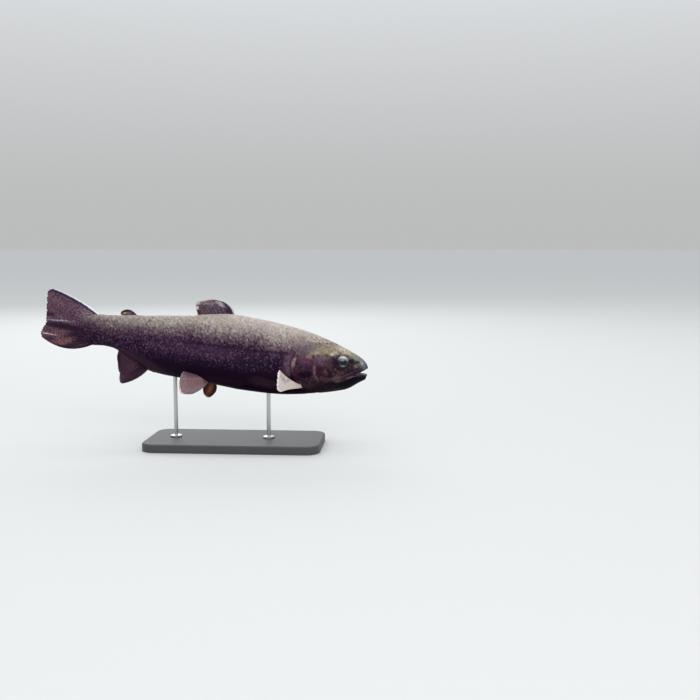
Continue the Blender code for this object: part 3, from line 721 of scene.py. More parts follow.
def mouth_form(name, last, through):
    """A closed form that opens the mouth: either the gap right through the lips, or the vaulted hollow
    behind it."""
    share = np.linspace(-1, 1, MOUTH_COLUMNS)
    rows = []
    for x in np.linspace(MOUTH_START, last, MOUTH_ROWS):
        roof, floor = level_on(ROOF_LINE, x), level_on(FLOOR_LINE, x)
        deep = math.sqrt(max(0.0, 1 - max(0.0, (x - 30) / 30) ** 2))
        inner = max((float(width_at(max(x, 0.0), floor)) - CHEEK_WALL) * deep, 0.4)
        y = np.sign(share) * np.abs(share) ** 0.8 * (GAP_REACH if through else inner)
        vault = 0 * y if through else np.sqrt(np.clip(1 - (y / inner) ** 2, 0, 1)) * ease(-4, 6, x) * deep
        ridges = 0.16 * np.cos(y * 1.7)
        rows.append(np.concatenate([
            np.stack([np.full_like(y, x), y, roof + (PALATE_RISE + ridges) * vault], 1),
            np.stack([np.full_like(y, x), y, floor - FLOOR_SINK * vault], 1)[::-1],
        ]))
    around = len(rows[0])
    faces = []
    for i in range(len(rows) - 1):
        for j in range(around):
            k = (j + 1) % around
            faces.append((i * around + j, i * around + k, (i + 1) * around + k, (i + 1) * around + j))
    for ring, flip in ((0, 1), (len(rows) - 1, -1)):
        first = ring * around
        for j in range(len(share) - 1):
            above = first + around - 1 - j
            faces.append((first + j, first + j + 1, above - 1, above)[::flip])
    form = mesh_from(name, np.vstack(rows), np.array(faces))
    face_outwards(form)
    return form


def unwrap_skin(mesh, lie, lining):
    """The skin's own unwrap, also used by the scales: along the fish, and round it from the back."""
    corner = corner_vertices(mesh)
    starts, counts, slots = (
        face_numbers(mesh, field) for field in ("loop_start", "loop_total", "material_index")
    )
    face = np.repeat(np.arange(len(starts)), counts)
    at = skin_unwrap(lie)[corner]
    low = np.minimum.reduceat(at[:, 1], starts)
    wrapped = (at[:, 1] - low[face]) > 0.5
    at[:, 1] = np.where(wrapped, at[:, 1] - 1, at[:, 1]) * 0.98 + 0.01
    inner = slots[face] == lining
    x, side, height = lie[corner].T
    roof = height > level_on(ROOF_LINE, x) - 3
    strip = np.stack([0.955 + 0.04 * (x + 8) / 70, np.where(roof, 0.25, 0.75) + side / 140], 1)
    write_unwrap(mesh, np.where(inner[:, None], strip, at))


def skin_unwrap(lie):
    """Unwrapped places: the head gets twice the trunk's share, and the throat is the seam."""
    x, side, height = lie.T
    share = np.interp(x, (SNOUT - 1, 110, BODY_END + 1), (0.005, 0.42, 0.94))
    middle = along_body(x, 4)
    tall = np.where(height > middle, along_body(x, 1) - middle, middle - along_body(x, 2))
    across = np.maximum(along_body(x, 3), 1)
    turn = np.arctan2(side / across, (height - middle) / np.maximum(tall, 1))
    return np.stack([share, turn / math.tau + 0.5], 1)


FAR_OUTSIDE = -50.0  # what the masks of the head's lines hold on the trunk
SKIN_NODES = (
    "head", "lower_jaw", "upper_jaw_plate_right", "upper_jaw_plate_left", "gill_cover_right",
    "gill_cover_left", "trunk_front", "trunk_rear", "tail_stem",
)


def build_skin(settings):
    """One skin over head, jaws, gill covers, trunk and tail stem, with the mouth opened in it."""
    skin = skin_shell(settings.coat_depth * PER_METRE)
    flesh, lining = skin_material(), lining_material()
    skin.data.materials.append(flesh)
    for form in (mouth_form("mouth_gap", MOUTH_CORNER, True), mouth_form("mouth_hollow", THROAT, False)):
        form.data.materials.append(lining)
        apply(skin, "BOOLEAN", operation="DIFFERENCE", object=form, solver="EXACT", material_mode="TRANSFER")
        bpy.data.objects.remove(form)
    mesh = skin.data
    lie = places_of(mesh)
    where = lie[:, (0, 2)]
    write_attribute(mesh, "lie", lie)
    write_attribute(mesh, "behind_gill", lie[:, 0] - gill_station(lie[:, 2]))
    head = lie[:, 0] < HEAD_MASKS_END
    for name, measure in (
        ("maxilla", lambda p: from_outline(p, smooth_outline(MAXILLA))),
        ("preopercle", lambda p: from_line(p, smooth_line(PREOPERCLE))[0]),
        ("lower_lip", lambda p: -from_line(p, FLOOR_LINE)[0]),
    ):
        values = np.full(len(lie), FAR_OUTSIDE)
        values[head] = measure(where[head])
        write_attribute(mesh, name, values)
    unwrap_skin(mesh, lie, mesh.materials.find(lining.name))
    set_places(mesh, swum(lie))
    settle(skin, "skin", *SKIN_NODES, smooth=50)


# --- Scales ---

COAT_DEPTH = 0.0004  # in metres, for which the lifts below are given
SCALE_START, SCALE_END = 84, 424  # stations of the first and last rows
SCALE_CLEARANCE = 3.4  # of the first scales behind the gill cover's edge
SCALE_ROOT_SUNK, SCALE_EDGE_LIFT, SCALE_THICKNESS = -0.16, 0.24, 0.12
SCALE_OVERLAP, SCALE_HALF_WIDTH = 1.5, 0.54  # length over pitch, and half the width over spread
SCALE_ROOT_SHARE = 0.28  # of a scale that lies ahead of its place
SCALE_RIM, SCALE_RISE = 0.13, 0.1  # of the sloping rim of a scale, before it is laid
SCALE_PATCH = 0.003  # side of a scale's place on the skin's unwrap
SCALE_SCATTER = 0.2, 0.1  # of a scale along and round the fish, as shares of pitch and spread
# The last row bends forward above and below the middle of the tail's root.
TAIL_SCALES_MIDDLE, TAIL_SCALES_HALF, TAIL_SCALES_BEND = 1, 22, 16
PIECE_TRIANGLES = 190_000  # the most in one piece
ARC_STATIONS, ARC_ANGLES = 180, np.linspace(0, math.pi, 361)  # where ways round the body are measured


def one_scale():
    """One scale lying flat, its root at 0 and its free edge at 1: an oval drawn out at the root, with a
    rim that slopes up to a raised middle. Returns (along, across, raised) and its triangles."""
    disc = start(
        bpy.ops.mesh.primitive_circle_add, "one_scale", vertices=9, radius=0.5, fill_type="NGON",
        rotation=(0, 0, math.pi / 9),
    )
    bpy.ops.object.transform_apply(location=False, rotation=True, scale=False)
    bpy.ops.object.mode_set(mode="EDIT")
    bpy.ops.mesh.select_all(action="SELECT")
    bpy.ops.mesh.inset(thickness=SCALE_RIM, depth=SCALE_RISE)
    bpy.ops.mesh.select_all(action="DESELECT")
    bpy.ops.mesh.select_non_manifold()
    bpy.ops.mesh.edge_face_add()
    bpy.ops.mesh.select_all(action="SELECT")
    bpy.ops.mesh.quads_convert_to_tris()
    bpy.ops.object.mode_set(mode="OBJECT")
    flat, faces = places_of(disc.data), triangles_of(disc.data)
    bpy.data.objects.remove(disc)
    along = flat[:, 0] + 0.5
    across = 2 * flat[:, 1] * (0.6 + 0.4 * ease(0, 0.55, along))
    return np.stack([along, across, (np.abs(flat[:, 2]) > 0.01) * 1.0], 1), faces


def arc_lengths(rings):
    """The way round from the back along each ring of places."""
    steps = np.linalg.norm(np.diff(rings, axis=-2), axis=-1)
    return np.concatenate([np.zeros((*steps.shape[:-1], 1)), np.cumsum(steps, axis=-1)], -1)


def scale_roots(pitch, spread):
    """Roots of the scales of one side, as (station, arc length from the back): rows across the fish,
    every other one shifted by half a scale, and all counted from the lateral line."""
    roots = []
    for row in range(int((SCALE_END - SCALE_START) / (pitch / 2))):
        x = SCALE_START + row * pitch / 2
        ring = body_surface(np.full_like(ARC_ANGLES, x), ARC_ANGLES)
        arc = arc_lengths(ring)
        line = np.interp(x, *np.array(LATERAL_LINE).T)
        first = np.interp(-line, -ring[:, 2], arc) + spread / 2 * (row % 2)
        steps = np.arange(-40, 41) * spread + first
        kept = steps[(steps > 0.2 * spread) & (steps < arc[-1] - 0.2 * spread)]
        roots.append(np.stack([np.full_like(kept, x), kept], 1))
    return np.vstack(roots)


def angle_at(x, arc):
    """The angle at which the form's surface is a given way round from the back, by station."""
    stations = np.linspace(SCALE_START - 4, BODY_END, ARC_STATIONS)
    grid = body_surface(stations[:, None], ARC_ANGLES[None])
    lengths = arc_lengths(grid)
    spot = np.clip((x - stations[0]) / (stations[1] - stations[0]), 0, ARC_STATIONS - 1.001)
    row = spot.astype(int)
    share = spot - row
    found = np.zeros_like(x)
    for k in np.unique(row):
        here = row == k
        a = np.interp(arc[here], lengths[k], ARC_ANGLES)
        b = np.interp(arc[here], lengths[k + 1], ARC_ANGLES)
        found[here] = a + (b - a) * share[here]
    return found


def lay_scales(pitch, spread, seed):
    """Where every scale lies: station, arc, side, grain and size of each."""
    roots = scale_roots(pitch, spread)
    roots = np.concatenate([roots, roots])
    side = np.r_[np.ones(len(roots) // 2), -np.ones(len(roots) // 2)]
    grain = np.random.default_rng(seed).random((len(roots), 3))
    x = roots[:, 0] + (grain[:, 0] - 0.5) * SCALE_SCATTER[0] * pitch
    arc = roots[:, 1] + (grain[:, 1] - 0.5) * SCALE_SCATTER[1] * spread
    angle = angle_at(x, arc)
    behind = x - gill_edge_at(angle)
    level = (body_surface(x, angle)[:, 2] - TAIL_SCALES_MIDDLE) / TAIL_SCALES_HALF
    kept = (behind > SCALE_CLEARANCE) & (x < SCALE_END - TAIL_SCALES_BEND * level**2)
    size = (0.72 + 0.28 * ease(2, 16, behind)) * (1 - 0.35 * ease(SCALE_END - 50, SCALE_END, x))
    return tuple(values[kept] for values in (x, arc, side, grain[:, 2], size))


def build_scales(settings):
    """Every scale of the trunk as thin solid mesh on the skin, joined into a few pieces."""
    depth, pitch, spread = (
        v * PER_METRE for v in (settings.coat_depth, settings.scale_pitch, settings.scale_spread)
    )
    x, arc, side, grain, size = lay_scales(pitch, spread, settings.seed)
    shape, faces = one_scale()
    corners = len(shape)
    length, width = SCALE_OVERLAP * pitch * size, SCALE_HALF_WIDTH * spread * size
    station = (x[:, None] + (shape[:, 0] - SCALE_ROOT_SHARE) * length[:, None]).ravel()
    reach = np.maximum(arc[:, None] + shape[:, 1] * width[:, None], 0.02).ravel()
    angle = np.mod(angle_at(station, reach) * np.repeat(side, corners), math.tau)
    place, normal = skin_surface(np.minimum(station, BODY_END - 0.5), angle, depth)
    lift = SCALE_ROOT_SUNK + (SCALE_EDGE_LIFT - SCALE_ROOT_SUNK) * shape[:, 0]
    lift = lift + SCALE_THICKNESS * shape[:, 2]
    lift = lift[None, :] * depth / (COAT_DEPTH * PER_METRE) * (0.85 + 0.3 * grain[:, None]) * size[:, None]
    top = (place + normal * lift.ravel()[:, None]).reshape(len(x), corners, 3)

    root, _ = skin_surface(x, np.mod(angle_at(x, arc) * side, math.tau), depth)
    spot = skin_unwrap(root) * (1, 0.98) + (0, 0.01)
    own = np.stack([shape[:, 0] - 0.5, shape[:, 1] / 2], 1) * SCALE_PATCH
    material = scale_material()
    parts = math.ceil(len(x) * len(faces) / PIECE_TRIANGLES)
    for number, chosen in enumerate(np.array_split(np.argsort(x, kind="stable"), parts), 1):
        offsets = (np.arange(len(chosen)) * corners)[:, None, None]
        turned = np.where((side[chosen] > 0)[:, None, None], faces[None], faces[None, :, ::-1])
        piece = mesh_from(
            f"trout_scales_{number}", swum(top[chosen].reshape(-1, 3)), (turned + offsets).reshape(-1, 3)
        )
        mesh = piece.data
        write_attribute(mesh, "lie", np.repeat(root[chosen], corners, 0))
        write_attribute(mesh, "leaf", np.tile(shape, (len(chosen), 1)))
        write_attribute(mesh, "grain", np.repeat(grain[chosen], corners))
        write_unwrap(mesh, (spot[chosen][:, None] + own[None]).reshape(-1, 2)[corner_vertices(mesh)])
        settle(piece, "skin", material=material, smooth=70)


# --- Fins ---

RAY_COLUMNS, RAY_STEPS = 10, 44  # faces of the mesh across each ray and along it
RIPPLE_ACROSS, RIPPLE_ALONG = 7.5, 2.2  # how far a fin's waves turn, in radians


def ray_place(fin, across, along):
    """A place in a fin's own plane, in (station, height); along may run below 0, into the body."""
    first, end = curve_points(fin["root"], across), curve_points(fin["tips"], across)
    ray = end - first
    bow = fin["bow"][0] + (fin["bow"][1] - fin["bow"][0]) * across
    bulge = (bow * 4 * along * (1 - along))[:, None] * np.stack([-ray[:, 1], ray[:, 0]], 1)
    return first + ray * along[:, None] + bulge


def ray_ridge(across, along, rays):
    """1 on a ray and 0 on the web between; each ray splits in two, and near the tips in four."""
    def comb(count):
        return (0.5 - 0.5 * np.cos(math.tau * across * count)) ** 1.5

    one, two, four = comb(rays), comb(rays * 2), comb(rays * 4)
    once = one + (0.85 * two - one) * ease(0.30, 0.5, along)
    return once + (0.7 * four - once) * ease(0.62, 0.8, along)


def fin_reach(across, fin, chance):
    """What is missing from the rays' ends: the edge dips between rays, is frayed and has notches."""
    dip, fray = fin["ragged"]
    count = fin["rays"]
    web = (0.5 + 0.5 * np.cos(math.tau * across * count)) ** 2
    worn = chance.random(count + 1)
    worn = np.interp(across * count, np.arange(count + 1), worn) ** 3 * ease(0.1, 0.5, across)
    torn = sum(depth * hump(across - place, width) for place, width, depth in fin["notches"])
    return dip * web + fray * worn + torn


def fin_shape(name, fin, settings, to_place):
    """A fin: a grid whose columns follow the rays, thickened to a wedge, ribbed and frayed."""
    rays = fin["rays"]
    piece = start(
        bpy.ops.mesh.primitive_grid_add, name, size=1,
        x_subdivisions=rays * RAY_COLUMNS, y_subdivisions=RAY_STEPS,
    )
    flat = places_of(piece.data)
    across, share = flat[:, 0] + 0.5, flat[:, 1] + 0.5
    chance = np.random.default_rng(sum(map(ord, name)))
    span = curve_points(fin["tips"], across) - curve_points(fin["root"], across)
    length = np.hypot(span[:, 0], span[:, 1])
    sunk = fin["sunk"] / length
    along = -sunk + (1 + sunk) * share
    along = along - fin_reach(across, fin, chance) / length * ease(0.55, 1.0, along)
    spot = ray_place(fin, across, along)
    root, web, tip = fin["thick"]
    ridge = ray_ridge(across, np.clip(along, 0, 1), rays)
    inner = np.clip(1 - along, 0, 1.2)
    plain = web + (root - web) * inner**1.9
    thick = plain + settings.ray_relief * ridge * (tip - web) * (0.35 + 0.65 * ease(0, 0.3, along))
    edge = np.minimum(np.minimum(across, 1 - across) * np.ptp(spot[:, 0]) * 1.2, (1 - share) * length)
    thick *= 0.55 + 0.45 * ease(0, 1.4, edge)
    ripple = np.sin(across * RIPPLE_ACROSS + along * RIPPLE_ALONG + len(name))
    wave = settings.wave * fin["wave"] * ripple * np.clip(along, 0, 1) ** 1.6
    set_places(piece.data, np.stack([spot[:, 0], wave, spot[:, 1]], 1))
    write_attribute(piece.data, "fin", np.stack([across, along, ridge], 1))
    write_attribute(piece.data, "rays", across * rays)
    most = float(thick.max())
    group = piece.vertex_groups.new(name="thickness")
    for index, value in enumerate(thick / most):
        group.add([index], float(value), "REPLACE")
    apply(
        piece, "SOLIDIFY", thickness=most, offset=0, vertex_group=group.name, thickness_vertex_group=0.0,
        use_even_offset=False,
    )
    piece.vertex_groups.clear()
    swim(piece, to_place(places_of(piece.data)))
    return piece


def paired_place(side, station, height, out, turn):
    """Turns a paired fin's own plane into its place beside the body, as (station, side, height)."""
    flare, nose_up, spread = (math.radians(a) for a in turn)
    turned = np.array(
        Matrix.Rotation(side * flare, 3, "X")
        @ Matrix.Rotation(-side * spread, 3, "Z")
        @ Matrix.Rotation(-nose_up, 3, "Y")
    )

    def place(own):
        forward = own * (-1, 1, 1)
        moved = forward @ turned.T + (-station, side * out, height)
        return moved * (-1, 1, 1)

    return place


def build_median_fins(settings):
    """Dorsal, adipose, caudal and anal fins."""
    for name, fin in FINS.items():
        piece = fin_shape("trout_" + name, fin, settings, lambda own: own)
        settle(piece, name, name, material=fin_material(name, name, True), smooth=60)


def build_paired_fins(settings):
    """Pectoral and pelvic fins of both sides."""
    for name, (kind, side, station, height, out, turn) in FIN_PLACES.items():
        place = paired_place(side, station, height, out, turn)
        piece = fin_shape("trout_" + name, PAIRED_FINS[kind], settings, place)
        slot = name.rsplit("_", 1)[0]
        settle(piece, slot, name, material=fin_material(name, kind, False), smooth=60)


# --- Eyes, teeth and tongue ---

LID_RADIUS, LID_THICKNESS, LID_OUT = 9.1, 0.52, 2.3
TOOTH_PITCH, TOOTH_RADIUS, TOOTH_POINT = 2.3, 0.34, 0.05
TEETH_INSIDE = 1.5  # how far the teeth stand inside the skin
TONGUE_MIDDLE, TONGUE_REACH = 27, 19  # stations


def build_eyes(settings):
    """Each eye: a flattened ball, its clear front swelling a little over the iris, in a fleshy rim."""
    ball_material, lid_material = eye_material(settings), eyelid_material()
    for word, side in (("right", -1), ("left", 1)):
        eye = start(
            bpy.ops.mesh.primitive_uv_sphere_add, f"trout_eye_{word}", segments=64, ring_count=40, radius=1
        )
        ball = places_of(eye.data)
        radius = np.hypot(ball[:, 0], ball[:, 1]) * EYE_RADIUS
        front = ball[:, 2] > 0
        swell = 0.75 * hump(radius, 5.6) * front
        middle, axes = eye_axes(side)
        own = np.stack([
            ball[:, 0] * EYE_RADIUS, ball[:, 1] * EYE_RADIUS, ball[:, 2] * EYE_THICKNESS + swell
        ], 1)
        write_attribute(eye.data, "gaze", own)
        swim(eye, middle + own @ axes)
        settle(eye, "eye", f"eye_{word}", material=ball_material)

        lid = start(
            bpy.ops.mesh.primitive_torus_add, f"trout_eyelid_{word}", major_segments=96, minor_segments=12,
            major_radius=LID_RADIUS, minor_radius=LID_THICKNESS,
        )
        own = places_of(lid.data) * (1, 1, 0.9) + (0, 0, LID_OUT)
        swim(lid, middle + own @ axes)
        settle(lid, "eye", material=lid_material)


def tooth_roots():
    """(station, out, level, height, side) of each tooth; the height is negative in the upper jaw."""
    for line, sign, last, sunk in ((ROOF_LINE, -1, 15, 0.1), (FLOOR_LINE, 1, 14, 0.2)):
        for index, x in enumerate(np.arange(0.8, last, TOOTH_PITCH)):
            level = float(level_on(line, x))
            out = max(float(width_at(x, level)) - TEETH_INSIDE, 0.6)
            tall = 1.1 - 0.5 * x / last + 0.12 * math.sin(index * 2.4)
            for side in (-1, 1):
                yield x, side * out, level - sign * sunk, sign * tall, side


def build_teeth():
    """Small teeth along both jaws, leaning inwards and back."""
    tooth = start(
        bpy.ops.mesh.primitive_cone_add, "one_tooth", vertices=7, depth=1, end_fill_type="NGON",
        radius1=TOOTH_RADIUS, radius2=TOOTH_POINT,
    )
    shape, faces = places_of(tooth.data), triangles_of(tooth.data)
    bpy.data.objects.remove(tooth)
    places, triangles = [], []
    for index, (x, out, level, tall, side) in enumerate(tooth_roots()):
        rise = shape[:, 2] * abs(tall) + abs(tall) / 2
        lean = 0.35 * rise**1.4
        along = x + shape[:, 0] + 0.25 * lean
        across = out + shape[:, 1] - side * 0.6 * lean
        places.append(np.stack([along, across, level + math.copysign(1, tall) * rise], 1))
        triangles.append((faces if tall < 0 else faces[:, ::-1]) + index * len(shape))
    teeth = mesh_from("trout_teeth", swum(np.vstack(places)), np.vstack(triangles))
    write_attribute(teeth.data, "grown", np.tile(shape + (0, 0, 0.5), (len(places), 1)))
    settle(teeth, "lower_jaw", material=tooth_material(), smooth=40)


def build_tongue():
    """The tongue and the floor of the mouth beside it, with a groove along the middle."""
    tongue = start(
        bpy.ops.mesh.primitive_uv_sphere_add, "trout_tongue", radius=1, segments=40, ring_count=28
    )
    ball = places_of(tongue.data)
    x = TONGUE_MIDDLE + TONGUE_REACH * ball[:, 0]
    wide = np.interp(x, (8, 12, 24, 46), (3.4, 5.5, 7.5, 6.5))
    roof, floor = level_on(ROOF_LINE, x), level_on(FLOOR_LINE, x)
    groove = 0.4 * hump(ball[:, 1], 0.22) * (ball[:, 2] > 0)
    thick = (roof - floor) / 2 + np.where(ball[:, 2] > 0, 0.9, 3.2)
    height = (roof + floor) / 2 + thick * ball[:, 2] - groove
    swim(tongue, np.stack([x, wide * ball[:, 1], height], 1))
    settle(tongue, "lower_jaw", material=tongue_material())


# --- Materials: wiring ---


class Wire:
    """An output socket of a node; arithmetic on it adds math nodes to its tree."""

    def __init__(self, tree, socket):
        self.tree, self.socket = tree, socket

    def math(self, operation, *others):
        return wired(self.tree, "Math", enumerate((self, *others)), operation=operation)

    def __add__(self, other):
        return self.math("ADD", other)

    def __sub__(self, other):
        return self.math("SUBTRACT", other)

    def __mul__(self, other):
        return self.math("MULTIPLY", other)

    def inverse(self):
        return (self * -1) + 1


def join(value, socket):
    """Feeds a socket from a wire, or sets it."""
    if isinstance(value, Wire):
        value.tree.links.new(value.socket, socket)
    elif socket.type == "RGBA" and len(value) == 3:
        socket.default_value = (*value, 1)
    else:
        socket.default_value = value


def new_node(tree, kind, inputs=(), **fields):
    """A shader node; inputs are (name or number of the socket, value)."""
    node = tree.nodes.new("ShaderNode" + kind)
    for field, value in fields.items():
        setattr(node, field, value)
    for socket, value in inputs:
        join(value, node.inputs[socket])
    return node


def wired(tree, kind, inputs=(), output=0, **fields):
    """One output of a new node."""
    return Wire(tree, new_node(tree, kind, inputs, **fields).outputs[output])


def rgb(red, green, blue):
    """A screen colour, 0 to 255, as the linear colour that sockets take."""
    return tuple(
        ((v / 255 + 0.055) / 1.055) ** 2.4 if v > 10 else v / 255 / 12.92 for v in (red, green, blue)
    )


def eased(value, low, high, strength=1.0):
    """0 up to low, the strength from high on, and smooth between; low may be above high."""
    inputs = (("Value", value), ("From Min", low), ("From Max", high), ("To Max", strength))
    return wired(value.tree, "MapRange", inputs, interpolation_type="SMOOTHSTEP")


def band(value, middle, width, strength=1.0):
    """The strength at the middle of a band, and 0 from its width on."""
    return eased((value - middle).math("ABSOLUTE"), width, 0, strength)


def mixed(factor, first, second):
    """From the first colour to the second."""
    node = new_node(factor.tree, "Mix", data_type="RGBA")
    sockets = {socket.identifier: socket for socket in (*node.inputs, *node.outputs)}
    for name, value in (("Factor_Float", factor), ("A_Color", first), ("B_Color", second)):
        join(value, sockets[name])
    return Wire(factor.tree, sockets["Result_Color"])


def vector_math(first, operation, second):
    inputs = ((0, first), ("Scale" if operation == "SCALE" else 1, second))
    return wired(first.tree, "VectorMath", inputs, operation=operation)


def vector_length(vector):
    return wired(vector.tree, "VectorMath", ((0, vector),), "Value", operation="LENGTH")


def parts_of(vector):
    """The three numbers of a vector."""
    node = new_node(vector.tree, "SeparateXYZ", ((0, vector),))
    return [Wire(vector.tree, socket) for socket in node.outputs]


def vector_of(x, y, z):
    tree = next(v.tree for v in (x, y, z) if isinstance(v, Wire))
    return wired(tree, "CombineXYZ", enumerate((x, y, z)))


def noise(place, size, detail=2.0, roughness=0.5, colour=False):
    """Noise whose features are about a size across, in the place's own units."""
    inputs = (("Vector", place), ("Scale", 1 / size), ("Detail", detail), ("Roughness", roughness))
    return wired(place.tree, "TexNoise", inputs, 1 if colour else 0)


def shaken(place, cloud, reach):
    """Places moved about by coloured noise, so that the edges of what is painted on them wander."""
    wander = vector_math(cloud, "SUBTRACT", (0.5, 0.5, 0.5))
    return vector_math(place, "ADD", vector_math(wander, "SCALE", reach))


def cells(place, size, random=1.0, flat=False):
    """Distance to the nearest cell's middle, as a share of the size, and the cell's own number."""
    inputs = (("Vector", place), ("Scale", 1 / size), ("Randomness", random))
    node = new_node(place.tree, "TexVoronoi", inputs, voronoi_dimensions="2D" if flat else "3D")
    return Wire(place.tree, node.outputs["Distance"]), parts_of(Wire(place.tree, node.outputs["Color"]))[0]


def stored(tree, name, field="Vector"):
    """An attribute of the mesh."""
    return wired(tree, "Attribute", output=field, attribute_name=name)


def coordinates(tree, kind="Object"):
    return wired(tree, "TexCoord", output=kind)


def profile(value, low, high, points):
    """A number that follows a given line: points are (value, result) with results from low to high."""
    node = new_node(value.tree, "FloatCurve")
    first, last = points[0][0], points[-1][0]
    curve = node.mapping.curves[0]
    for index, (at, result) in enumerate(points):
        spot = ((at - first) / (last - first), (result - low) / (high - low))
        if index in (0, len(points) - 1):
            curve.points[0 if index == 0 else -1].location = spot
        else:
            curve.points.new(*spot)
    node.mapping.update()
    share = (value - first) * (1 / (last - first))
    join(share.math("MINIMUM", 1.0).math("MAXIMUM", 0.0), node.inputs["Value"])
    return Wire(value.tree, node.outputs[0]) * (high - low) + low


def ramp(value, stops):
    """Colours by value; stops are (value, colour) in rising order."""
    node = new_node(value.tree, "ValToRGB")
    low, high = stops[0][0], stops[-1][0]
    elements = node.color_ramp.elements
    for at, _ in stops[1:-1]:
        elements.new((at - low) / (high - low))
    for element, (_, tone) in zip(elements, stops):
        element.color = (*rgb(*tone), 1)
    join((value - low) * (1 / (high - low)), node.inputs["Fac"])
    return Wire(value.tree, node.outputs["Color"])


ANY_SIDE = 1e5  # half an oval's size across the fish, so that it shows on both sides


def marked(colour, place, marks):
    """Lays soft-edged ovals of colour over one another. A mark is (station, height, half its length, half
    its height, how far its rear end drops in degrees, softness, strength, colour)."""
    for station, height, length, tall, drop, soft, strength, tone in marks:
        inputs = (
            ("Vector", place), ("Location", (station, 0, height)),
            ("Rotation", (0, math.radians(drop), 0)), ("Scale", (length, ANY_SIDE, tall)),
        )
        away = vector_length(wired(place.tree, "Mapping", inputs, vector_type="TEXTURE"))
        colour = mixed(eased(away, 1 + soft, 1 - soft, strength), colour, rgb(*tone))
    return colour


def new_group(name, inputs, outputs):
    """A shader node group with its sockets; returns it with its input wires."""
    group = bpy.data.node_groups.new(name, "ShaderNodeTree")
    for kind, sockets in (("INPUT", inputs), ("OUTPUT", outputs)):
        for socket_name, socket_kind in sockets:
            group.interface.new_socket(socket_name, in_out=kind, socket_type="NodeSocket" + socket_kind)
    entry = group.nodes.new("NodeGroupInput")
    return group, [Wire(group, entry.outputs[socket_name]) for socket_name, _ in inputs]


def give(group, **values):
    """Connects a group's outputs."""
    leave = group.nodes.new("NodeGroupOutput")
    for name, value in values.items():
        join(value, leave.inputs[name])
    return group


def placed(tree, name, build, **values):
    """Places a group in a tree, built when it is first needed; returns its outputs."""
    group = bpy.data.node_groups.get(name) or build(name)
    node = new_node(tree, "Group", values.items(), node_tree=group)
    return [Wire(tree, socket) for socket in node.outputs]


def new_material(name, **constants):
    """A material with its Principled BSDF's own sockets set; returns it, its tree and the shader."""
    material = bpy.data.materials.new(name)
    material.use_nodes = True
    shader = material.node_tree.nodes["Principled BSDF"]
    for socket, value in constants.items():
        join(value, shader.inputs[socket.replace("_", " ")])
    return material, material.node_tree, shader


def finish(shader, colour, roughness, height=None, distance=0.0, strength=0.5):
    """Feeds a shader with its colour, its roughness and, where a height is given, a bump."""
    join(colour, shader.inputs["Base Color"])
    join(roughness, shader.inputs["Roughness"])
    if height:
        inputs = (("Height", height), ("Distance", distance), ("Strength", strength))
        join(wired(height.tree, "Bump", inputs), shader.inputs["Normal"])


# --- Materials: the trout's colours ---

SHEEN = (1.0, 0.6, 1.0)  # tint of the gloss on dark skin

# Height, by station, at which the pale back gives way to the dark flank.
BACK_EDGE = ((-2, 2), (10, 7), (24, 13.5), (36, 17), (50, 15), (66, 13), (85, 12), (99, 11), (130, 9.5),
             (160, 15.7), (190, 16), (220, 13.6), (250, 16.6), (280, 12.5), (310, 10), (340, 9), (370, 6),
             (400, 6), (434, 6))
# From the flank to the top of the back, by height over that edge: the back's own pale grey, made lighter
# towards the top by painted light from above.
BACK_COLOURS = ((-9, (28, 12, 34)), (-3, (54, 35, 54)), (3, (80, 62, 74)), (10, (103, 90, 92)),
                (18, (138, 128, 122)), (27, (160, 150, 144)), (38, (174, 164, 157)))

TRUNK_GROUP = "Trout trunk markings"
TRUNK_MARKS = (
    # (station, height, half length, half height, drop, softness, strength, colour)
    (240, -2, 82, 10, 0, 0.6, 0.75, (60, 40, 62)),
    (169, -9, 24, 12, 0, 0.6, 0.5, (20, 20, 27)),
    (112, -5, 6.5, 15, 0, 0.6, 0.7, (108, 82, 98)),
    (141, -38, 22, 7, -4, 0.6, 0.45, (56, 38, 44)),
    (205, -44, 34, 5, 0, 0.6, 0.4, (38, 22, 32)),
    (124, 9.5, 10, 2.6, 5, 0.5, 0.5, (40, 24, 46)),
    (101, 22, 9, 5, 0, 0.6, 0.5, (98, 80, 92)),
    (104, 31, 15, 6.5, 8, 0.6, 0.5, (124, 112, 110)),
    (263, -3, 3.2, 1.2, -20, 0.4, 0.5, (112, 96, 106)),
    (318, -36, 26, 6, -24, 0.7, 0.5, (56, 34, 46)),
    (350, -28, 20, 6, -24, 0.7, 0.5, (60, 38, 50)),
    (376, 2, 26, 5, 0, 0.7, 0.5, (66, 46, 52)),
    (418, 4, 17, 8, 0, 0.6, 0.4, (44, 30, 48)),
)
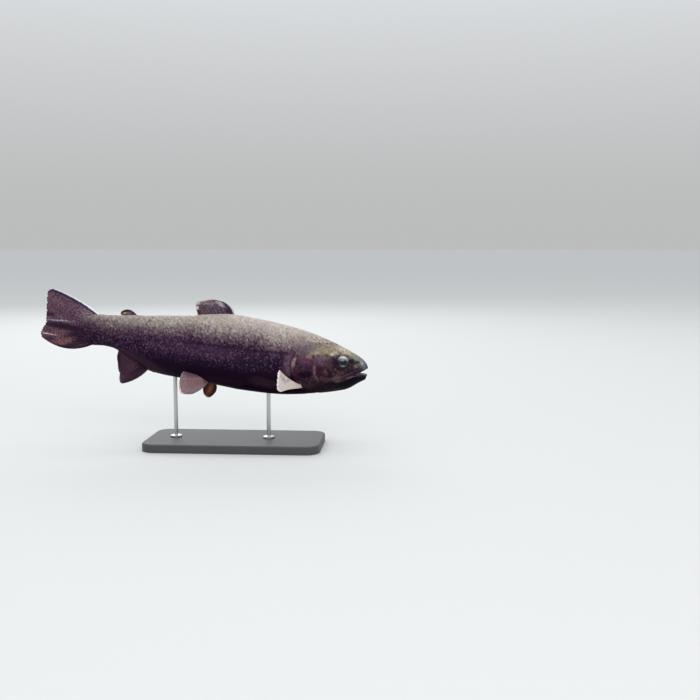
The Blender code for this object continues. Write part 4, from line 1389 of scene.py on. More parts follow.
HEAD_MARKS = (
    (64, 22.5, 20, 6.5, 14, 0.45, 0.75, (131, 123, 100)),
    (36, 24.5, 14, 5.0, -22, 0.5, 0.75, (176, 165, 150)),
    (20, 17, 7, 4, -28, 0.5, 0.7, (118, 124, 110)),
    (90, 21, 11, 6.5, 6, 0.5, 0.75, (94, 78, 88)),
    (92, 15, 7, 3.5, 0, 0.6, 0.6, (80, 64, 76)),
    (75.5, 16.4, 5.5, 1.8, 20, 0.6, 0.85, (152, 140, 126)),
    (76, 26.5, 7, 3.5, 10, 0.6, 0.7, (106, 98, 94)),
    (62, 10.6, 4, 2.4, 0, 0.6, 0.65, (130, 110, 112)),
    (51, 18.4, 6, 3, 10, 0.5, 0.75, (184, 172, 150)),
    (68, 5, 8, 6.5, 0, 0.6, 0.6, (106, 80, 96)),
    (53.5, 24.8, 2.6, 1.7, 0, 0.5, 0.6, (150, 134, 114)),
    (4, 8.5, 5.5, 6, 0, 0.5, 0.8, (98, 106, 120)),
    (0.5, 4.5, 3, 3, 0, 0.6, 0.7, (44, 46, 60)),
    (9.4, 9.6, 1.9, 3.8, 10, 0.5, 0.7, (160, 150, 140)),
    (16.8, 4.3, 3.6, 1.6, 15, 0.6, 0.75, (98, 94, 92)),
    (17.8, 14.6, 2.4, 1.2, -20, 0.5, 0.5, (126, 124, 110)),
    (24.2, 9.6, 4.0, 4.6, 0, 0.5, 0.9, (22, 19, 31)),
    (16, 10, 4.0, 1.8, -10, 0.6, 0.85, (40, 38, 46)),
    (47.6, 8.0, 4.6, 5.6, 20, 0.5, 0.85, (26, 17, 38)),
    (43, -1.2, 7.0, 2.8, -20, 0.5, 0.9, (26, 15, 28)),
    (58, 8, 7, 4.5, 0, 0.6, 0.5, (68, 48, 52)),
    (55, 1.5, 5, 4.0, 0, 0.6, 0.6, (72, 52, 54)),
    (61, -3, 5, 6, 0, 0.6, 0.4, (62, 36, 46)),
    (68.5, -9, 3.6, 8, 8, 0.6, 0.7, (56, 12, 40)),
    (52.5, -8.4, 3.4, 3.2, 0, 0.5, 0.8, (22, 12, 24)),
    (64, -15.5, 5.5, 3.0, 10, 0.6, 0.6, (28, 8, 24)),
    (58.7, -9.8, 1.8, 1.4, 0, 0.6, 0.6, (112, 72, 68)),
    (45.8, -3.8, 1.9, 1.1, -20, 0.6, 0.6, (104, 66, 70)),
    (38.5, -9.5, 3.0, 2.0, 20, 0.6, 0.4, (74, 52, 60)),
    (88, 3.5, 11, 6, 0, 0.6, 0.75, (92, 56, 80)),
    (85, 9.8, 4, 2.2, 0, 0.6, 0.7, (134, 108, 112)),
    (95, -21, 7, 7, 0, 0.6, 0.7, (24, 2, 32)),
    (84, -5.6, 9, 5, 0, 0.6, 0.65, (54, 30, 62)),
    (86, -16.5, 10, 6, 8, 0.6, 0.9, (21, 2, 22)),
    (100, -15, 3.4, 4.2, -30, 0.6, 0.6, (72, 16, 36)),
    (58, -20.5, 14, 3, 0, 0.6, 0.6, (68, 48, 52)),
    (41, -18.5, 6.5, 4.6, 5, 0.6, 0.9, (98, 84, 74)),
    (51.5, -14.5, 5, 3.4, 0, 0.6, 0.8, (24, 12, 24)),
    (50, -27.5, 14, 4.4, 8, 0.6, 0.85, (14, 7, 13)),
    (76, -27, 14, 5, -6, 0.6, 0.55, (42, 16, 34)),
    (17, -20, 26, 8.5, 24, 0.3, 0.96, (6, 4, 12)),
    (60, -37, 28, 8, 10, 0.6, 0.8, (17, 8, 19)),
)

# Where the head's colours end, as (height, station): along the gill opening.
GILL_MARK = ((-50, 55), (-42.5, 70), (-38.4, 85.5), (-32.7, 95), (-25, 102.5), (-15, 107.3), (-5, 109),
             (5.5, 107.3), (15, 102), (24.5, 94), (33, 87), (44, 81), (50, 78))


def trunk_colours(lie, place, over, dither):
    """The pale back with painted light on top, the dark flank with its flecks and painted shade below, and
    the lateral line.
    """
    station, _, height = parts_of(lie)
    # The back's own pale grey, lighter towards the top with painted light from above.
    colour = ramp(over, BACK_COLOURS)
    patches = eased(noise(lie, 26, 2), 0.45, 0.7, 0.3) * eased(over, 4, 14)
    colour = mixed(patches, colour, rgb(134, 126, 108))
    # Darker towards the belly: the belly's own dusky colour, deepened with painted shade under the body.
    colour = mixed(eased(height, -14, -30, 0.85), colour, rgb(13, 3, 19))
    colour = marked(colour, place, TRUNK_MARKS)
    flank = eased(over, 6, -3) * eased(height, -30, -8, 0.75)
    flecks = noise(lie, 2.5, 3, 0.6)
    colour = mixed(eased(flecks, 0.5, 0.34, 0.65) * flank, colour, rgb(26, 9, 32))
    colour = mixed(eased(flecks, 0.48, 0.7) * (flank + 0.03), colour, rgb(94, 71, 91))
    line = height - profile(station, 0, 20, LATERAL_LINE)
    length = eased(station, 104, 118) * eased(station, 330, 215)
    return mixed(band(line + ((dither - 0.5) * 1.6), 0, 2.8, 0.75) * length, colour, rgb(22, 10, 30))


def head_colours(lie, place, over):
    """The head's pale crown with painted light on top, dark cheeks with painted shade below, freckles and
    marks.
    """
    # Darker below and lighter on the crown: own colours, with painted shade below and painted light from
    # above.
    colour = mixed(eased(over, -10, 8), rgb(44, 27, 40), rgb(126, 116, 108))
    colour = mixed(eased(over, 17, 25, 0.7), colour, rgb(176, 168, 158))
    mottle = eased(noise(lie, 3.2, 3, 0.6), 0.42, 0.62, 0.8) * eased(over, 4, -4)
    colour = mixed(mottle, colour, rgb(86, 66, 62))
    freckles = eased(noise(lie, 2.3, 3, 0.6), 0.48, 0.62, 0.85) * eased(over, 12, 2)
    return marked(mixed(freckles, colour, rgb(24, 13, 28)), place, HEAD_MARKS)


def markings_group(name):
    """The colours of skin and scales alike, from the place on the straight fish. Grain is a random
    number for each scale, so that colours meet scale by scale, and Scaled says how much it counts. The
    group named TRUNK_GROUP leaves out the head, for the fins."""
    group, (lie, grain, scaled) = new_group(
        name, (("Lie", "Vector"), ("Grain", "Float"), ("Scaled", "Float")), (("Colour", "Color"),)
    )
    place = shaken(lie, noise(lie, 9, 3, 0.6, colour=True), 9.0)
    station, _, height = parts_of(lie)
    dither = (grain * scaled) + (noise(lie, 1.4, 2) * scaled.inverse())

    slanted = vector_of(
        (station - height) * 0.8, parts_of(place)[1] * 0.5, (station + height) * 0.4
    )
    over = height - profile(station, 0, 30, BACK_EDGE)
    over = over + ((dither - 0.5) * 3) + ((noise(lie, 5, 2) - 0.5) * 8)
    over = over + ((noise(slanted, 2.9, 2, 0.55) - 0.5) * 36)
    colour = trunk_colours(lie, place, over, dither)
    if name == TRUNK_GROUP:
        return give(group, Colour=colour)

    edge = eased(station - profile(height, 55, 110, GILL_MARK), 1.5, -1.5)
    head = eased(station, 112, 96) * edge
    colour = mixed(head, colour, head_colours(lie, place, over))
    away, own = cells(vector_math(lie, "MULTIPLY", (0.8, 0.55, 1.0)), 4.6)
    spot = eased(away, 0.38, 0.2) * eased(own, 0.32, 0.42) * eased(over, -10, 3) * eased(station, 30, 60)
    colour = mixed(spot * eased(height, 46, 36) * 0.4, colour, rgb(44, 34, 42))
    speck = noise(lie, 2.3, 3, 0.65)
    light = ((eased(speck, 0.25, 0.75) - 0.5) * ((head * 0.55) + 0.5)) + 1
    return give(group, Colour=vector_math(colour, "SCALE", light))


def markings(tree, lie, grain, scaled, group="Trout markings"):
    """The trout's colours in a material's tree."""
    return placed(tree, group, markings_group, Lie=lie, Grain=grain, Scaled=scaled)[0]


# Of the lower lip, by station: its own dark grey, with a painted highlight along its top, lightest at the
# tip and from station 20 to 25.
LIP_COLOURS = ((0, (78, 88, 112)), (3, (44, 54, 74)), (8, (18, 25, 40)), (12, (40, 42, 50)),
               (17, (60, 58, 70)), (20, (90, 86, 98)), (25, (104, 92, 102)), (29, (74, 58, 66)))


def skin_material():
    """Bare skin of the head, and what shows between scales on the trunk."""
    material, tree, shader = new_material("trout_skin", Specular_IOR_Level=0.06, Specular_Tint=SHEEN)
    lie = stored(tree, "lie")
    station, side, height = parts_of(lie)
    grain = noise(lie, 1.1, 2)
    colour = markings(tree, lie, grain, 0.0)
    behind_gill, jaw, preopercle, lip = (
        stored(tree, name, "Fac") for name in ("behind_gill", "maxilla", "preopercle", "lower_lip")
    )
    near = eased(side.math("ABSOLUTE"), 3, 7)
    colour = mixed(eased(jaw, -0.3, 1.6, 0.7), colour, mixed(grain, rgb(24, 14, 28), rgb(58, 40, 60)))
    colour = mixed(band(jaw, 0.7, 1.0, 0.3) * eased(station, 12, 30), colour, rgb(96, 74, 84))
    # Painted shade in the groove round the edge of the jaw plate.
    colour = mixed(band(jaw, -0.6, 0.8, 0.6), colour, rgb(12, 6, 14))
    broken = eased(noise(lie, 4.2, 3, 0.6), 0.3, 0.62)
    crescent = band(preopercle, 1.4, 3.4, 0.85) * eased(height, 2, -5) * eased(height, -25, -14) * broken
    colour = mixed(crescent * near, colour, mixed(grain, rgb(92, 56, 68), rgb(164, 134, 130)))
    # Painted shade in the groove along the preopercle's edge, fading out above.
    colour = mixed(band(preopercle, -0.9, 1.2, 0.7) * near * eased(height, 4, -6), colour, rgb(20, 7, 20))
    rim = band(behind_gill, -2.4, 4.0, 0.9) * eased(height, 8, 3) * eased(height, -10, -3) * broken
    colour = mixed(rim, colour, mixed(noise(lie, 3, 2), rgb(124, 94, 100), rgb(214, 188, 180)))
    # Painted shade in the cleft just behind the gill cover's edge.
    colour = mixed(band(behind_gill, 1.0, 2.0, 0.6) * eased(height, 12, 2), colour, rgb(10, 3, 10))
    # The lip band carries a painted highlight along the lower lip's top, over its own dark grey.
    lip_band = band(lip, 0.9, 1.7, 0.9) * eased(station, 33, 27)
    colour = mixed(lip_band, colour, ramp(station, LIP_COLOURS))
    roughness = eased(noise(lie, 2.4, 3), 0.2, 0.8, 0.2) + 0.34
    wrinkles = noise(lie, 0.7, 3, 0.6) + (noise(lie, 3.0, 2) * 1.4)
    finish(shader, colour, roughness, wrinkles, 0.00022, 0.55)
    return material


def scale_material():
    """A scale: the skin's colour at its root, a dark rim, a painted highlight on its raised middle, and fine
    growth rings.
    """
    material, tree, shader = new_material("trout_scales", Specular_IOR_Level=0.055, Specular_Tint=SHEEN)
    lie, leaf, grain = stored(tree, "lie"), stored(tree, "leaf"), stored(tree, "grain", "Fac")
    colour = markings(tree, lie, grain, 1.0)
    along, across, raised = parts_of(leaf)
    rear = eased(along, 0.55, 1.0)
    colour = mixed(rear * eased(raised, 0.9, 0.1, 0.5), colour, rgb(22, 12, 26))
    # Painted highlight: the raised middle of the scale made lighter, more on some scales than others.
    middle = eased(along, 0.35, 0.7) * eased(raised, 0.3, 1.0)
    colour = vector_math(colour, "SCALE", (middle * eased(grain, 0.1, 0.9, 0.22)) + 1)
    roughness = (grain * 0.16) + 0.36
    rings = (vector_length(vector_of(along, across * 0.45, 0.0)) * 70).math("SINE")
    finish(shader, colour, roughness, rings, 0.00001)
    return material


def lining_material():
    """The inside of the mouth, darker further in with painted shade."""
    material, tree, shader = new_material("trout_mouth_lining", Specular_IOR_Level=0.5, Coat_Weight=0.2)
    place = stored(tree, "lie")
    station = parts_of(place)[0]
    mottle = noise(place, 2.2, 3)
    colour = mixed(mottle, rgb(180, 174, 172), rgb(150, 142, 150))
    # Painted shade: darker from station 4 to 15, further into the mouth.
    colour = mixed(eased(station, 4, 15), colour, rgb(62, 46, 54))
    finish(shader, colour, (mottle * 0.2) + 0.3, noise(place, 1.2, 2), 0.0002)
    return material


# --- Materials: fins ---

# Colours of the fins: of the web ("base"), of the web near the root, and of the rays. "blend" is the
# share of the height over which the trunk's own markings run up into the fin. "first", "last" and
# "tips" are the rims along the first ray, the last ray and the ends of the rays: (share of the fin,
# strength, colour). "inner" is a band beside the first rim: (where its middle is, how wide it is to
# either side, strength, colour). "spots" is (strength, colour). "marks" are as on the trunk for the
# median fins, and for the paired ones in hundredths across and along the fin.
FIN_LOOKS = {
    "dorsal_fin": dict(
        base=(100, 84, 92), root=(72, 56, 68), ray=(66, 50, 62), blend=0.06,
        first=(0.05, 0.95, (200, 194, 186)), last=(0.04, 0.6, (196, 184, 178)),
        tips=(0.1, 0.95, (196, 190, 186)), inner=(0.11, 0.1, 0.5, (40, 34, 60)),
        spots=(0.7, (34, 20, 34)),
        marks=(
            (228, 67, 7, 2.8, -25, 0.7, 0.85, (192, 188, 196)),
            (212.5, 58, 5, 4.5, -35, 0.6, 0.85, (34, 28, 56)),
            (252, 57, 3.4, 3.4, 0, 0.6, 0.7, (84, 62, 44)),
            (251, 64, 4.5, 2.4, 0, 0.6, 0.7, (150, 138, 122)),
            (242, 65, 6, 3, 0, 0.6, 0.6, (150, 130, 140)),
            (258, 49, 3, 4, 0, 0.6, 0.8, (46, 30, 34)),
            (261, 63, 3.6, 2.6, 0, 0.6, 0.9, (212, 204, 210)),
            (260.6, 56, 2.8, 2.6, 0, 0.6, 0.9, (222, 208, 198)),
            (219, 54, 4, 2, -20, 0.6, 0.6, (88, 52, 62)),
        ),
    ),
    "adipose_fin": dict(
        base=(92, 76, 82), root=(116, 104, 102), ray=(80, 64, 70), blend=0.5,
        first=(0.15, 0.85, (36, 28, 44)), last=(0.08, 0.8, (58, 44, 20)),
        tips=(0.24, 0.95, (30, 22, 32)),
        spots=(0.2, (50, 36, 40)),
        marks=(
            (369.2, 33.2, 2.6, 1.5, 14, 0.6, 0.95, (216, 176, 148)),
            (363.5, 33.8, 3.6, 1.0, 4, 0.6, 0.8, (122, 106, 60)),
            (366, 30.5, 2.6, 1.5, 0, 0.6, 0.85, (44, 22, 30)),
            (355.5, 33.5, 3.4, 1.6, -20, 0.6, 0.8, (50, 44, 84)),
            (373, 32.4, 1.6, 1.6, 0, 0.6, 0.8, (58, 44, 12)),
        ),
    ),
    "anal_fin": dict(
        base=(50, 30, 46), root=(34, 14, 32), ray=(78, 54, 68), blend=0.3,
        first=(0.03, 0.7, (150, 138, 138)), last=(0.04, 0.3, (70, 52, 60)),
        tips=(0.05, 0.6, (98, 78, 92)), inner=(0.1, 0.12, 0.5, (26, 12, 26)),
        spots=(0.5, (24, 12, 26)),
        marks=(
            (340, -50, 12, 3.5, 38, 0.5, 0.6, (22, 12, 22)),
            (364, -66, 7, 5, 30, 0.6, 0.4, (84, 62, 78)),
            (352, -44, 9, 7, 20, 0.7, 0.35, (74, 50, 48)),
            (371, -38, 3, 10, 0, 0.7, 0.6, (26, 4, 26)),
        ),
    ),
    "caudal_fin": dict(
        base=(78, 52, 68), root=(60, 38, 56), ray=(132, 106, 116), blend=0.42,
        first=(0.024, 0.95, (226, 224, 232)), last=(0.04, 0.9, (26, 12, 28)),
        tips=(0.02, 0.6, (44, 26, 42)), inner=(0.06, 0.05, 0.8, (34, 24, 66)),
        spots=(0.6, (30, 14, 32)),
        marks=(
            (478, 35, 15, 5, -24, 0.7, 0.4, (126, 92, 92)),
            (487, 14, 8, 3, -6, 0.6, 0.8, (32, 12, 38)),
            (462, -1, 34, 5, 0, 0.5, 0.9, (22, 6, 26)),
            (441, -15, 17, 13, 10, 0.6, 0.85, (22, 6, 28)),
            (472, 6.6, 22, 0.9, 5, 0.6, 0.85, (176, 160, 180)),
            (487, -16, 15, 0.8, 0, 0.5, 0.9, (206, 190, 170)),
            (471, -11, 15, 3, 8, 0.6, 0.6, (112, 70, 64)),
            (458, -23, 16, 4.4, 22, 0.6, 0.7, (124, 82, 74)),
            (484, -23, 8, 3, 8, 0.6, 0.7, (40, 22, 46)),
            (458, -31, 24, 2.6, 12, 0.5, 0.8, (24, 10, 26)),
            (421, 24, 14, 6, -20, 0.7, 0.6, (118, 100, 112)),
            (456, 17, 22, 7, -20, 0.7, 0.35, (70, 40, 64)),
        ),
    ),
    "pectoral_fin": dict(
        base=(222, 210, 196), root=(226, 206, 176), ray=(170, 156, 168), blend=0.03,
        first=(0.05, 0.9, (244, 238, 232)), last=(0.05, 0.9, (232, 190, 150)),
        tips=(0.04, 0.95, (246, 242, 242)), inner=(0.9, 0.05, 0.5, (206, 150, 112)),
        spots=(0.3, (150, 138, 150)),
        marks=(
            (66, 78, 14, 5, 12, 0.6, 0.7, (142, 126, 136)),
            (56, 70, 14, 4, 8, 0.6, 0.6, (150, 134, 140)),
            (74, 62, 12, 4, 10, 0.6, 0.7, (140, 128, 138)),
            (76, 86, 10, 3, 8, 0.6, 0.6, (150, 136, 142)),
            (80, 30, 12, 8, 0, 0.6, 0.6, (196, 174, 188)),
            (40, 42, 14, 8, 0, 0.6, 0.4, (206, 206, 190)),
            (20, 50, 10, 14, 0, 0.6, 0.6, (230, 204, 160)),
        ),
    ),
    "pelvic_fin": dict(
        base=(118, 94, 98), root=(70, 38, 46), ray=(152, 128, 130), blend=0.2,
        first=(0.04, 0.6, (142, 122, 122)), last=(0.12, 0.7, (84, 62, 76)),
        tips=(0.03, 0.7, (150, 134, 138)),
        spots=(0.4, (72, 50, 66)),
        marks=(
            (50, 45, 24, 28, 0, 0.7, 0.5, (120, 84, 80)),
            (90, 60, 12, 40, 0, 0.6, 0.7, (72, 48, 58)),
            (30, 99, 22, 4, 0, 0.6, 0.95, (226, 214, 206)),
            (26, 60, 12, 24, 0, 0.6, 0.5, (132, 116, 124)),
            (50, 84, 30, 10, 0, 0.6, 0.5, (136, 116, 122)),
        ),
    ),
    "folded_pelvic_fin": dict(
        base=(82, 44, 36), root=(50, 28, 32), ray=(112, 66, 50), blend=0.12,
        first=(0.12, 0.9, (30, 10, 26)), last=(0.05, 0.5, (96, 66, 62)),
        tips=(0.05, 0.9, (206, 196, 186)), inner=(0.2, 0.1, 0.5, (46, 22, 34)),
        spots=(0.5, (46, 22, 26)),
        marks=(
            (45, 50, 11, 34, 10, 0.6, 0.75, (172, 98, 68)),
            (75, 50, 12, 40, 0, 0.6, 0.5, (56, 26, 32)),
        ),
    ),
}


def rays_group(name):
    """The rays of a fin: their shade, the joints across them and spots in the web between them."""
    group, (fin, rays) = new_group(
        name, (("Fin", "Vector"), ("Rays", "Float")),
        (("Ray", "Float"), ("Joints", "Float"), ("Spots", "Float")),
    )
    _, along, ridge = parts_of(fin)
    joints = (along * 210).math("SINE") * ridge * eased(along, 0.1, 0.35)
    away, own = cells(vector_of(rays, along * 24, 0.0), 1.0, 0.85, True)
    spots = eased(away, 0.5, 0.25) * eased(own, 0.05, 0.35)
    return give(group, Ray=ridge, Joints=joints, Spots=spots * eased(along, 0.02, 0.12))


def fin_material(name, kind, median):
    """Web, rays, rims and marks of one fin."""
    look = FIN_LOOKS[kind]
    material, tree, shader = new_material("trout_" + name, Specular_IOR_Level=0.12, Specular_Tint=SHEEN)
    fin, lie = stored(tree, "fin"), stored(tree, "lie")
    across, along, _ = parts_of(fin)
    ray, joints, spots = placed(tree, "Fin rays", rays_group, Fin=fin, Rays=stored(tree, "rays", "Fac"))
    mottle = noise(lie, 3.5, 3, 0.6)
    colour = mixed(eased(along + ((mottle - 0.5) * 0.3), 0.35, 0.02), rgb(*look["base"]), rgb(*look["root"]))
    colour = mixed(ray * eased(mottle, 0.1, 0.6, 0.9), colour, rgb(*look["ray"]))
    body = markings(tree, lie, mottle, 0.0, TRUNK_GROUP)
    colour = mixed(eased(along + ((mottle - 0.5) * 0.25), look["blend"], 0.0), colour, body)
    place = lie if median else vector_of(across * 100, 0.0, along * 100)
    place = shaken(place, noise(lie, 4, 2, colour=True), 4.0 if median else 14.0)
    colour = marked(colour, place, look["marks"])
    strength, tone = look["spots"]
    colour = mixed(spots * strength, colour, rgb(*tone))
    uneven = (noise(lie, 5, 2) - 0.5) * 0.05
    for value, (width, strength, tone) in (
        (across + uneven, look["first"]), (across.inverse() + uneven, look["last"]),
        (along.inverse() + uneven, look["tips"]),
    ):
        colour = mixed(eased(value, width * 1.5, width * 0.6, strength), colour, rgb(*tone))
    if "inner" in look:
        middle, width, strength, tone = look["inner"]
        colour = mixed(band(across, middle, width, strength), colour, rgb(*tone))
    finish(shader, colour, (mottle * 0.2) + 0.36, joints + (mottle * 0.8), 0.00008, 0.6)
    return material


# --- Materials: eyes, teeth, tongue and stand ---

# By height over the middle of the eye, the lower rim first: the iris's own colours, made lighter towards the
# top by painted light from above.
IRIS_COLOURS = ((-8.5, (24, 20, 26)), (-6, (48, 48, 50)), (-3.4, (32, 33, 48)), (-1, (32, 34, 50)),
                (1.4, (64, 67, 84)), (3.4, (98, 103, 114)), (4.8, (132, 136, 136)), (6.2, (178, 176, 162)),
                (7.4, (208, 203, 172)), (9, (166, 158, 136)))


# Marks on the eye, placed from its middle.
EYE_SHADE = ((-7, -4, 4, 5, 0, 0.6, 0.9, (15, 12, 27)),)
EYE_GLINTS = (
    (-1.2, 2.2, 2.6, 1.1, -8, 0.7, 0.6, (122, 128, 164)),
    (0.2, -6.0, 3.4, 1.2, -4, 0.6, 0.9, (122, 117, 104)),
    (5.6, 4.4, 2.4, 1.4, 30, 0.6, 0.6, (136, 142, 130)),
)


def eye_material(settings):
    """Iris and pupil painted in depth on the ball, under a clear gloss, with painted light from above, a
    painted shade in the socket and painted glints.
    """
    material, tree, shader = new_material(
        "trout_eye", Roughness=0.12, Specular_IOR_Level=0.2, Coat_Weight=0.1, Coat_Roughness=0.03
    )
    gaze = stored(tree, "gaze")
    ahead, up, _ = parts_of(gaze)
    flat = vector_of(ahead, 0.0, up)
    radius = vector_length(flat)
    streaks = noise(vector_math(gaze, "MULTIPLY", (1.0, 1.0, 0.2)), 1.1, 3, 0.65)
    # Lighter towards the top: painted light from above on the iris's own colours.
    colour = ramp(up + ((streaks - 0.5) * 2.4), IRIS_COLOURS)
    colour = marked(colour, flat, EYE_SHADE)
    reach = vector_math(flat, "SUBTRACT", (settings.pupil_forward, 0.0, -0.9))
    pupil = vector_length(vector_math(reach, "MULTIPLY", (0.8, 1.0, 1.0)))
    size = settings.pupil_radius * PER_METRE
    colour = mixed(band(pupil, size + 0.3, 0.5, 0.2), colour, rgb(130, 124, 104))
    colour = mixed(eased(pupil, size + 0.6, size - 0.5), colour, rgb(5, 8, 28))
    colour = marked(colour, flat, EYE_GLINTS)
    colour = mixed(eased(radius, 8.0, 8.9, 0.9) * eased(up, 8, 3), colour, rgb(34, 30, 34))
    join(colour, shader.inputs["Base Color"])
    return material


def eyelid_material():
    """The fleshy ring round the eye, darker on its lower part with painted shade."""
    material, tree, shader = new_material("trout_eyelid", Specular_IOR_Level=0.08)
    lie = stored(tree, "lie")
    mottle = noise(lie, 2.5, 3, 0.6)
    colour = markings(tree, lie, mottle, 0.0)
    # Painted shade on the lower part of the ring.
    shade = eased(parts_of(lie)[2], 15, 6, 0.75) + (mottle * 0.2)
    finish(shader, mixed(shade, colour, rgb(20, 14, 24)), (mottle * 0.2) + 0.34, mottle, 0.0001)
    return material


def tooth_material():
    material, tree, shader = new_material("trout_teeth", Specular_IOR_Level=0.5, Coat_Weight=0.3)
    place = stored(tree, "grown")
    tip = parts_of(place)[2]
    colour = mixed(eased(tip, 0.1, 0.9), rgb(196, 170, 140), rgb(240, 234, 216))
    finish(shader, colour, (noise(place, 0.4, 2) * 0.3) + 0.2)
    return material


# From the tongue's tip to the throat, by station: its own colour, darker further into the mouth with painted
# shade, and lighter from 20 to 26 with a painted highlight.
TONGUE_COLOURS = ((9, (176, 170, 166)), (12, (138, 130, 136)), (16, (100, 96, 110)), (20, (120, 112, 124)),
                  (26, (120, 104, 116)), (32, (60, 42, 52)))


def tongue_material():
    material, tree, shader = new_material("trout_tongue", Specular_IOR_Level=0.5, Coat_Weight=0.35)
    lie = stored(tree, "lie")
    mottle = noise(lie, 1.6, 3)
    # The ramp holds painted shade deeper in the mouth and a painted highlight near stations 20 to 26.
    colour = ramp(parts_of(lie)[0] + (mottle * 2), TONGUE_COLOURS)
    finish(shader, colour, (mottle * 0.2) + 0.28, cells(lie, 0.9)[0], 0.0002)
    return material


def wear_group(name):
    """Fine grain along a surface and the odd scuff on it."""
    group, (place, stretch) = new_group(
        name, (("Place", "Vector"), ("Stretch", "Vector")), (("Grain", "Float"), ("Scuffs", "Float"))
    )
    grain = noise(vector_math(place, "MULTIPLY", stretch), 0.002, 4, 0.6)
    scuffs = eased(noise(place, 0.012, 4, 0.7), 0.6, 0.72) * eased(noise(place, 0.05, 2), 0.5, 0.62)
    return give(group, Grain=grain, Scuffs=scuffs)


def base_material(settings):
    """Charcoal paint on a close-grained wooden base."""
    material, tree, shader = new_material("stand_paint", Specular_IOR_Level=0.4)
    place = coordinates(tree)
    grain, scuffs = placed(tree, "Stand wear", wear_group, Place=place, Stretch=(0.06, 1.0, 1.0))
    colour = mixed(grain, tuple(settings.base_colour), tuple(v * 1.35 for v in settings.base_colour))
    colour = mixed(scuffs * 0.25, colour, rgb(118, 114, 110))
    finish(shader, colour, (grain * 0.2) + (scuffs * 0.15) + 0.42, grain, 0.0002)
    return material


def rod_material():
    """Steel, brushed round the rods."""
    material, tree, shader = new_material("stand_steel", Metallic=1.0)
    place = coordinates(tree)
    grain, scuffs = placed(tree, "Stand wear", wear_group, Place=place, Stretch=(0.15, 0.15, 2.2))
    colour = mixed(grain, rgb(176, 177, 180), rgb(206, 207, 208))
    colour = mixed(scuffs * 0.3, colour, rgb(120, 120, 124))
    finish(shader, colour, (grain * 0.2) + (scuffs * 0.1) + 0.24, grain, 0.00003)
    return material


def floor_material(settings):
    material, tree, shader = new_material("studio_floor", Specular_IOR_Level=0.15, Roughness=0.8)
    place = coordinates(tree)
    pale = tuple(settings.floor_colour)
    colour = mixed(noise(place, 0.4, 2) * 0.15, pale, tuple(v * 0.97 for v in pale))
    join(colour, shader.inputs["Base Color"])
    return material


# --- Stand and studio ---


def finish_stand(settings):
    """The base's paint and the rods' steel, on their own solids."""
    paint, steel = base_material(settings), rod_material()
    for name in ("stand_base", "stand_rod_front", "stand_rod_rear"):
        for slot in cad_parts[name].material_slots:
            slot.material = paint if name == "stand_base" else steel


FLOOR_LEVEL = -0.0004  # just below the underside of the base
SENSOR_WIDTH = 36  # millimetres
NEAREST_SEEN = 0.01


def soft_light(name, power, size, place, target, tint):
    """A large soft light that faces a place."""
    lamp = bpy.data.lights.new(name, "AREA")
    lamp.shape = "RECTANGLE"
    lamp.size, lamp.size_y = size
    lamp.energy = power
    lamp.color = tint
    made = bpy.data.objects.new(name, lamp)
    bpy.context.scene.collection.objects.link(made)
    made.location = place
    made.rotation_euler = (Vector(target) - Vector(place)).to_track_quat("-Z", "Y").to_euler()


def set_floor(settings):
    floor = start(
        bpy.ops.mesh.primitive_circle_add, "studio_floor", vertices=96, radius=settings.floor_size / 2,
        fill_type="NGON", location=(0, 0, FLOOR_LEVEL),
    )
    bpy.ops.object.transform_apply(location=True, rotation=False, scale=False)
    floor.data.materials.append(floor_material(settings))


def set_sky(settings):
    world = bpy.data.worlds.new("studio")
    bpy.context.scene.world = world
    world.use_nodes = True
    sky = world.node_tree.nodes["Background"]
    rise = parts_of(coordinates(world.node_tree, "Generated"))[2]
    colour = mixed(eased(rise, 0, 0.5), tuple(settings.horizon_colour), tuple(settings.sky_colour))
    join(colour, sky.inputs["Color"])
    join(settings.sky_strength, sky.inputs["Strength"])


def set_camera(settings, middle):
    camera = bpy.data.cameras.new("camera")
    made = bpy.data.objects.new("camera", camera)
    bpy.context.scene.collection.objects.link(made)
    camera.sensor_width = SENSOR_WIDTH
    camera.lens = settings.lens
    camera.clip_start = NEAREST_SEEN
    around, above = settings.view_azimuth, settings.view_elevation
    away = Vector((
        math.sin(around) * math.cos(above), -math.cos(around) * math.cos(above), math.sin(above)
    ))
    made.location = Vector(middle) + away * settings.view_distance
    made.rotation_euler = Euler((math.radians(90) - above, 0, settings.view_heading))
    bpy.context.scene.camera = made
    bpy.context.scene.view_settings.view_transform = "Standard"


def set_stage(settings):
    """A large pale floor, a pale sky, soft lights from above and from both sides, and the camera."""
    middle = (0.0, 0.0, settings.view_height)
    set_floor(settings)
    set_sky(settings)
    soft_light("top_light", settings.top_power, (4.0, 3.0), (0.0, 0.2, 3.2), middle, (1.0, 0.99, 0.97))
    soft_light("front_light", settings.front_power, (1.6, 1.2), (0.8, -2.3, 1.5), middle, (1.0, 0.98, 0.98))
    soft_light("back_light", settings.back_power, (1.6, 1.2), (-0.8, 2.3, 1.6), middle, (0.97, 0.98, 1.0))
    set_camera(settings, middle)


# --- Add-on ---


class TroutCoatSettings(bpy.types.PropertyGroup):
    coat_depth: FloatProperty(
        name="Coat depth", description="How deep the skin lies under the scales", default=COAT_DEPTH,
        min=0.0001, max=0.001, precision=5, unit="LENGTH",
    )
    scale_pitch: FloatProperty(
        name="Scale pitch", description="Distance between scales of one row along the fish",
        default=0.003, min=0.002, max=0.01, precision=4, unit="LENGTH",
    )
    scale_spread: FloatProperty(
        name="Scale spread", description="Distance between rows round the fish", default=0.0032,
        min=0.002, max=0.01, precision=4, unit="LENGTH",
    )
    seed: IntProperty(name="Seed", description="Seed of the scales' small differences", default=8, min=0)


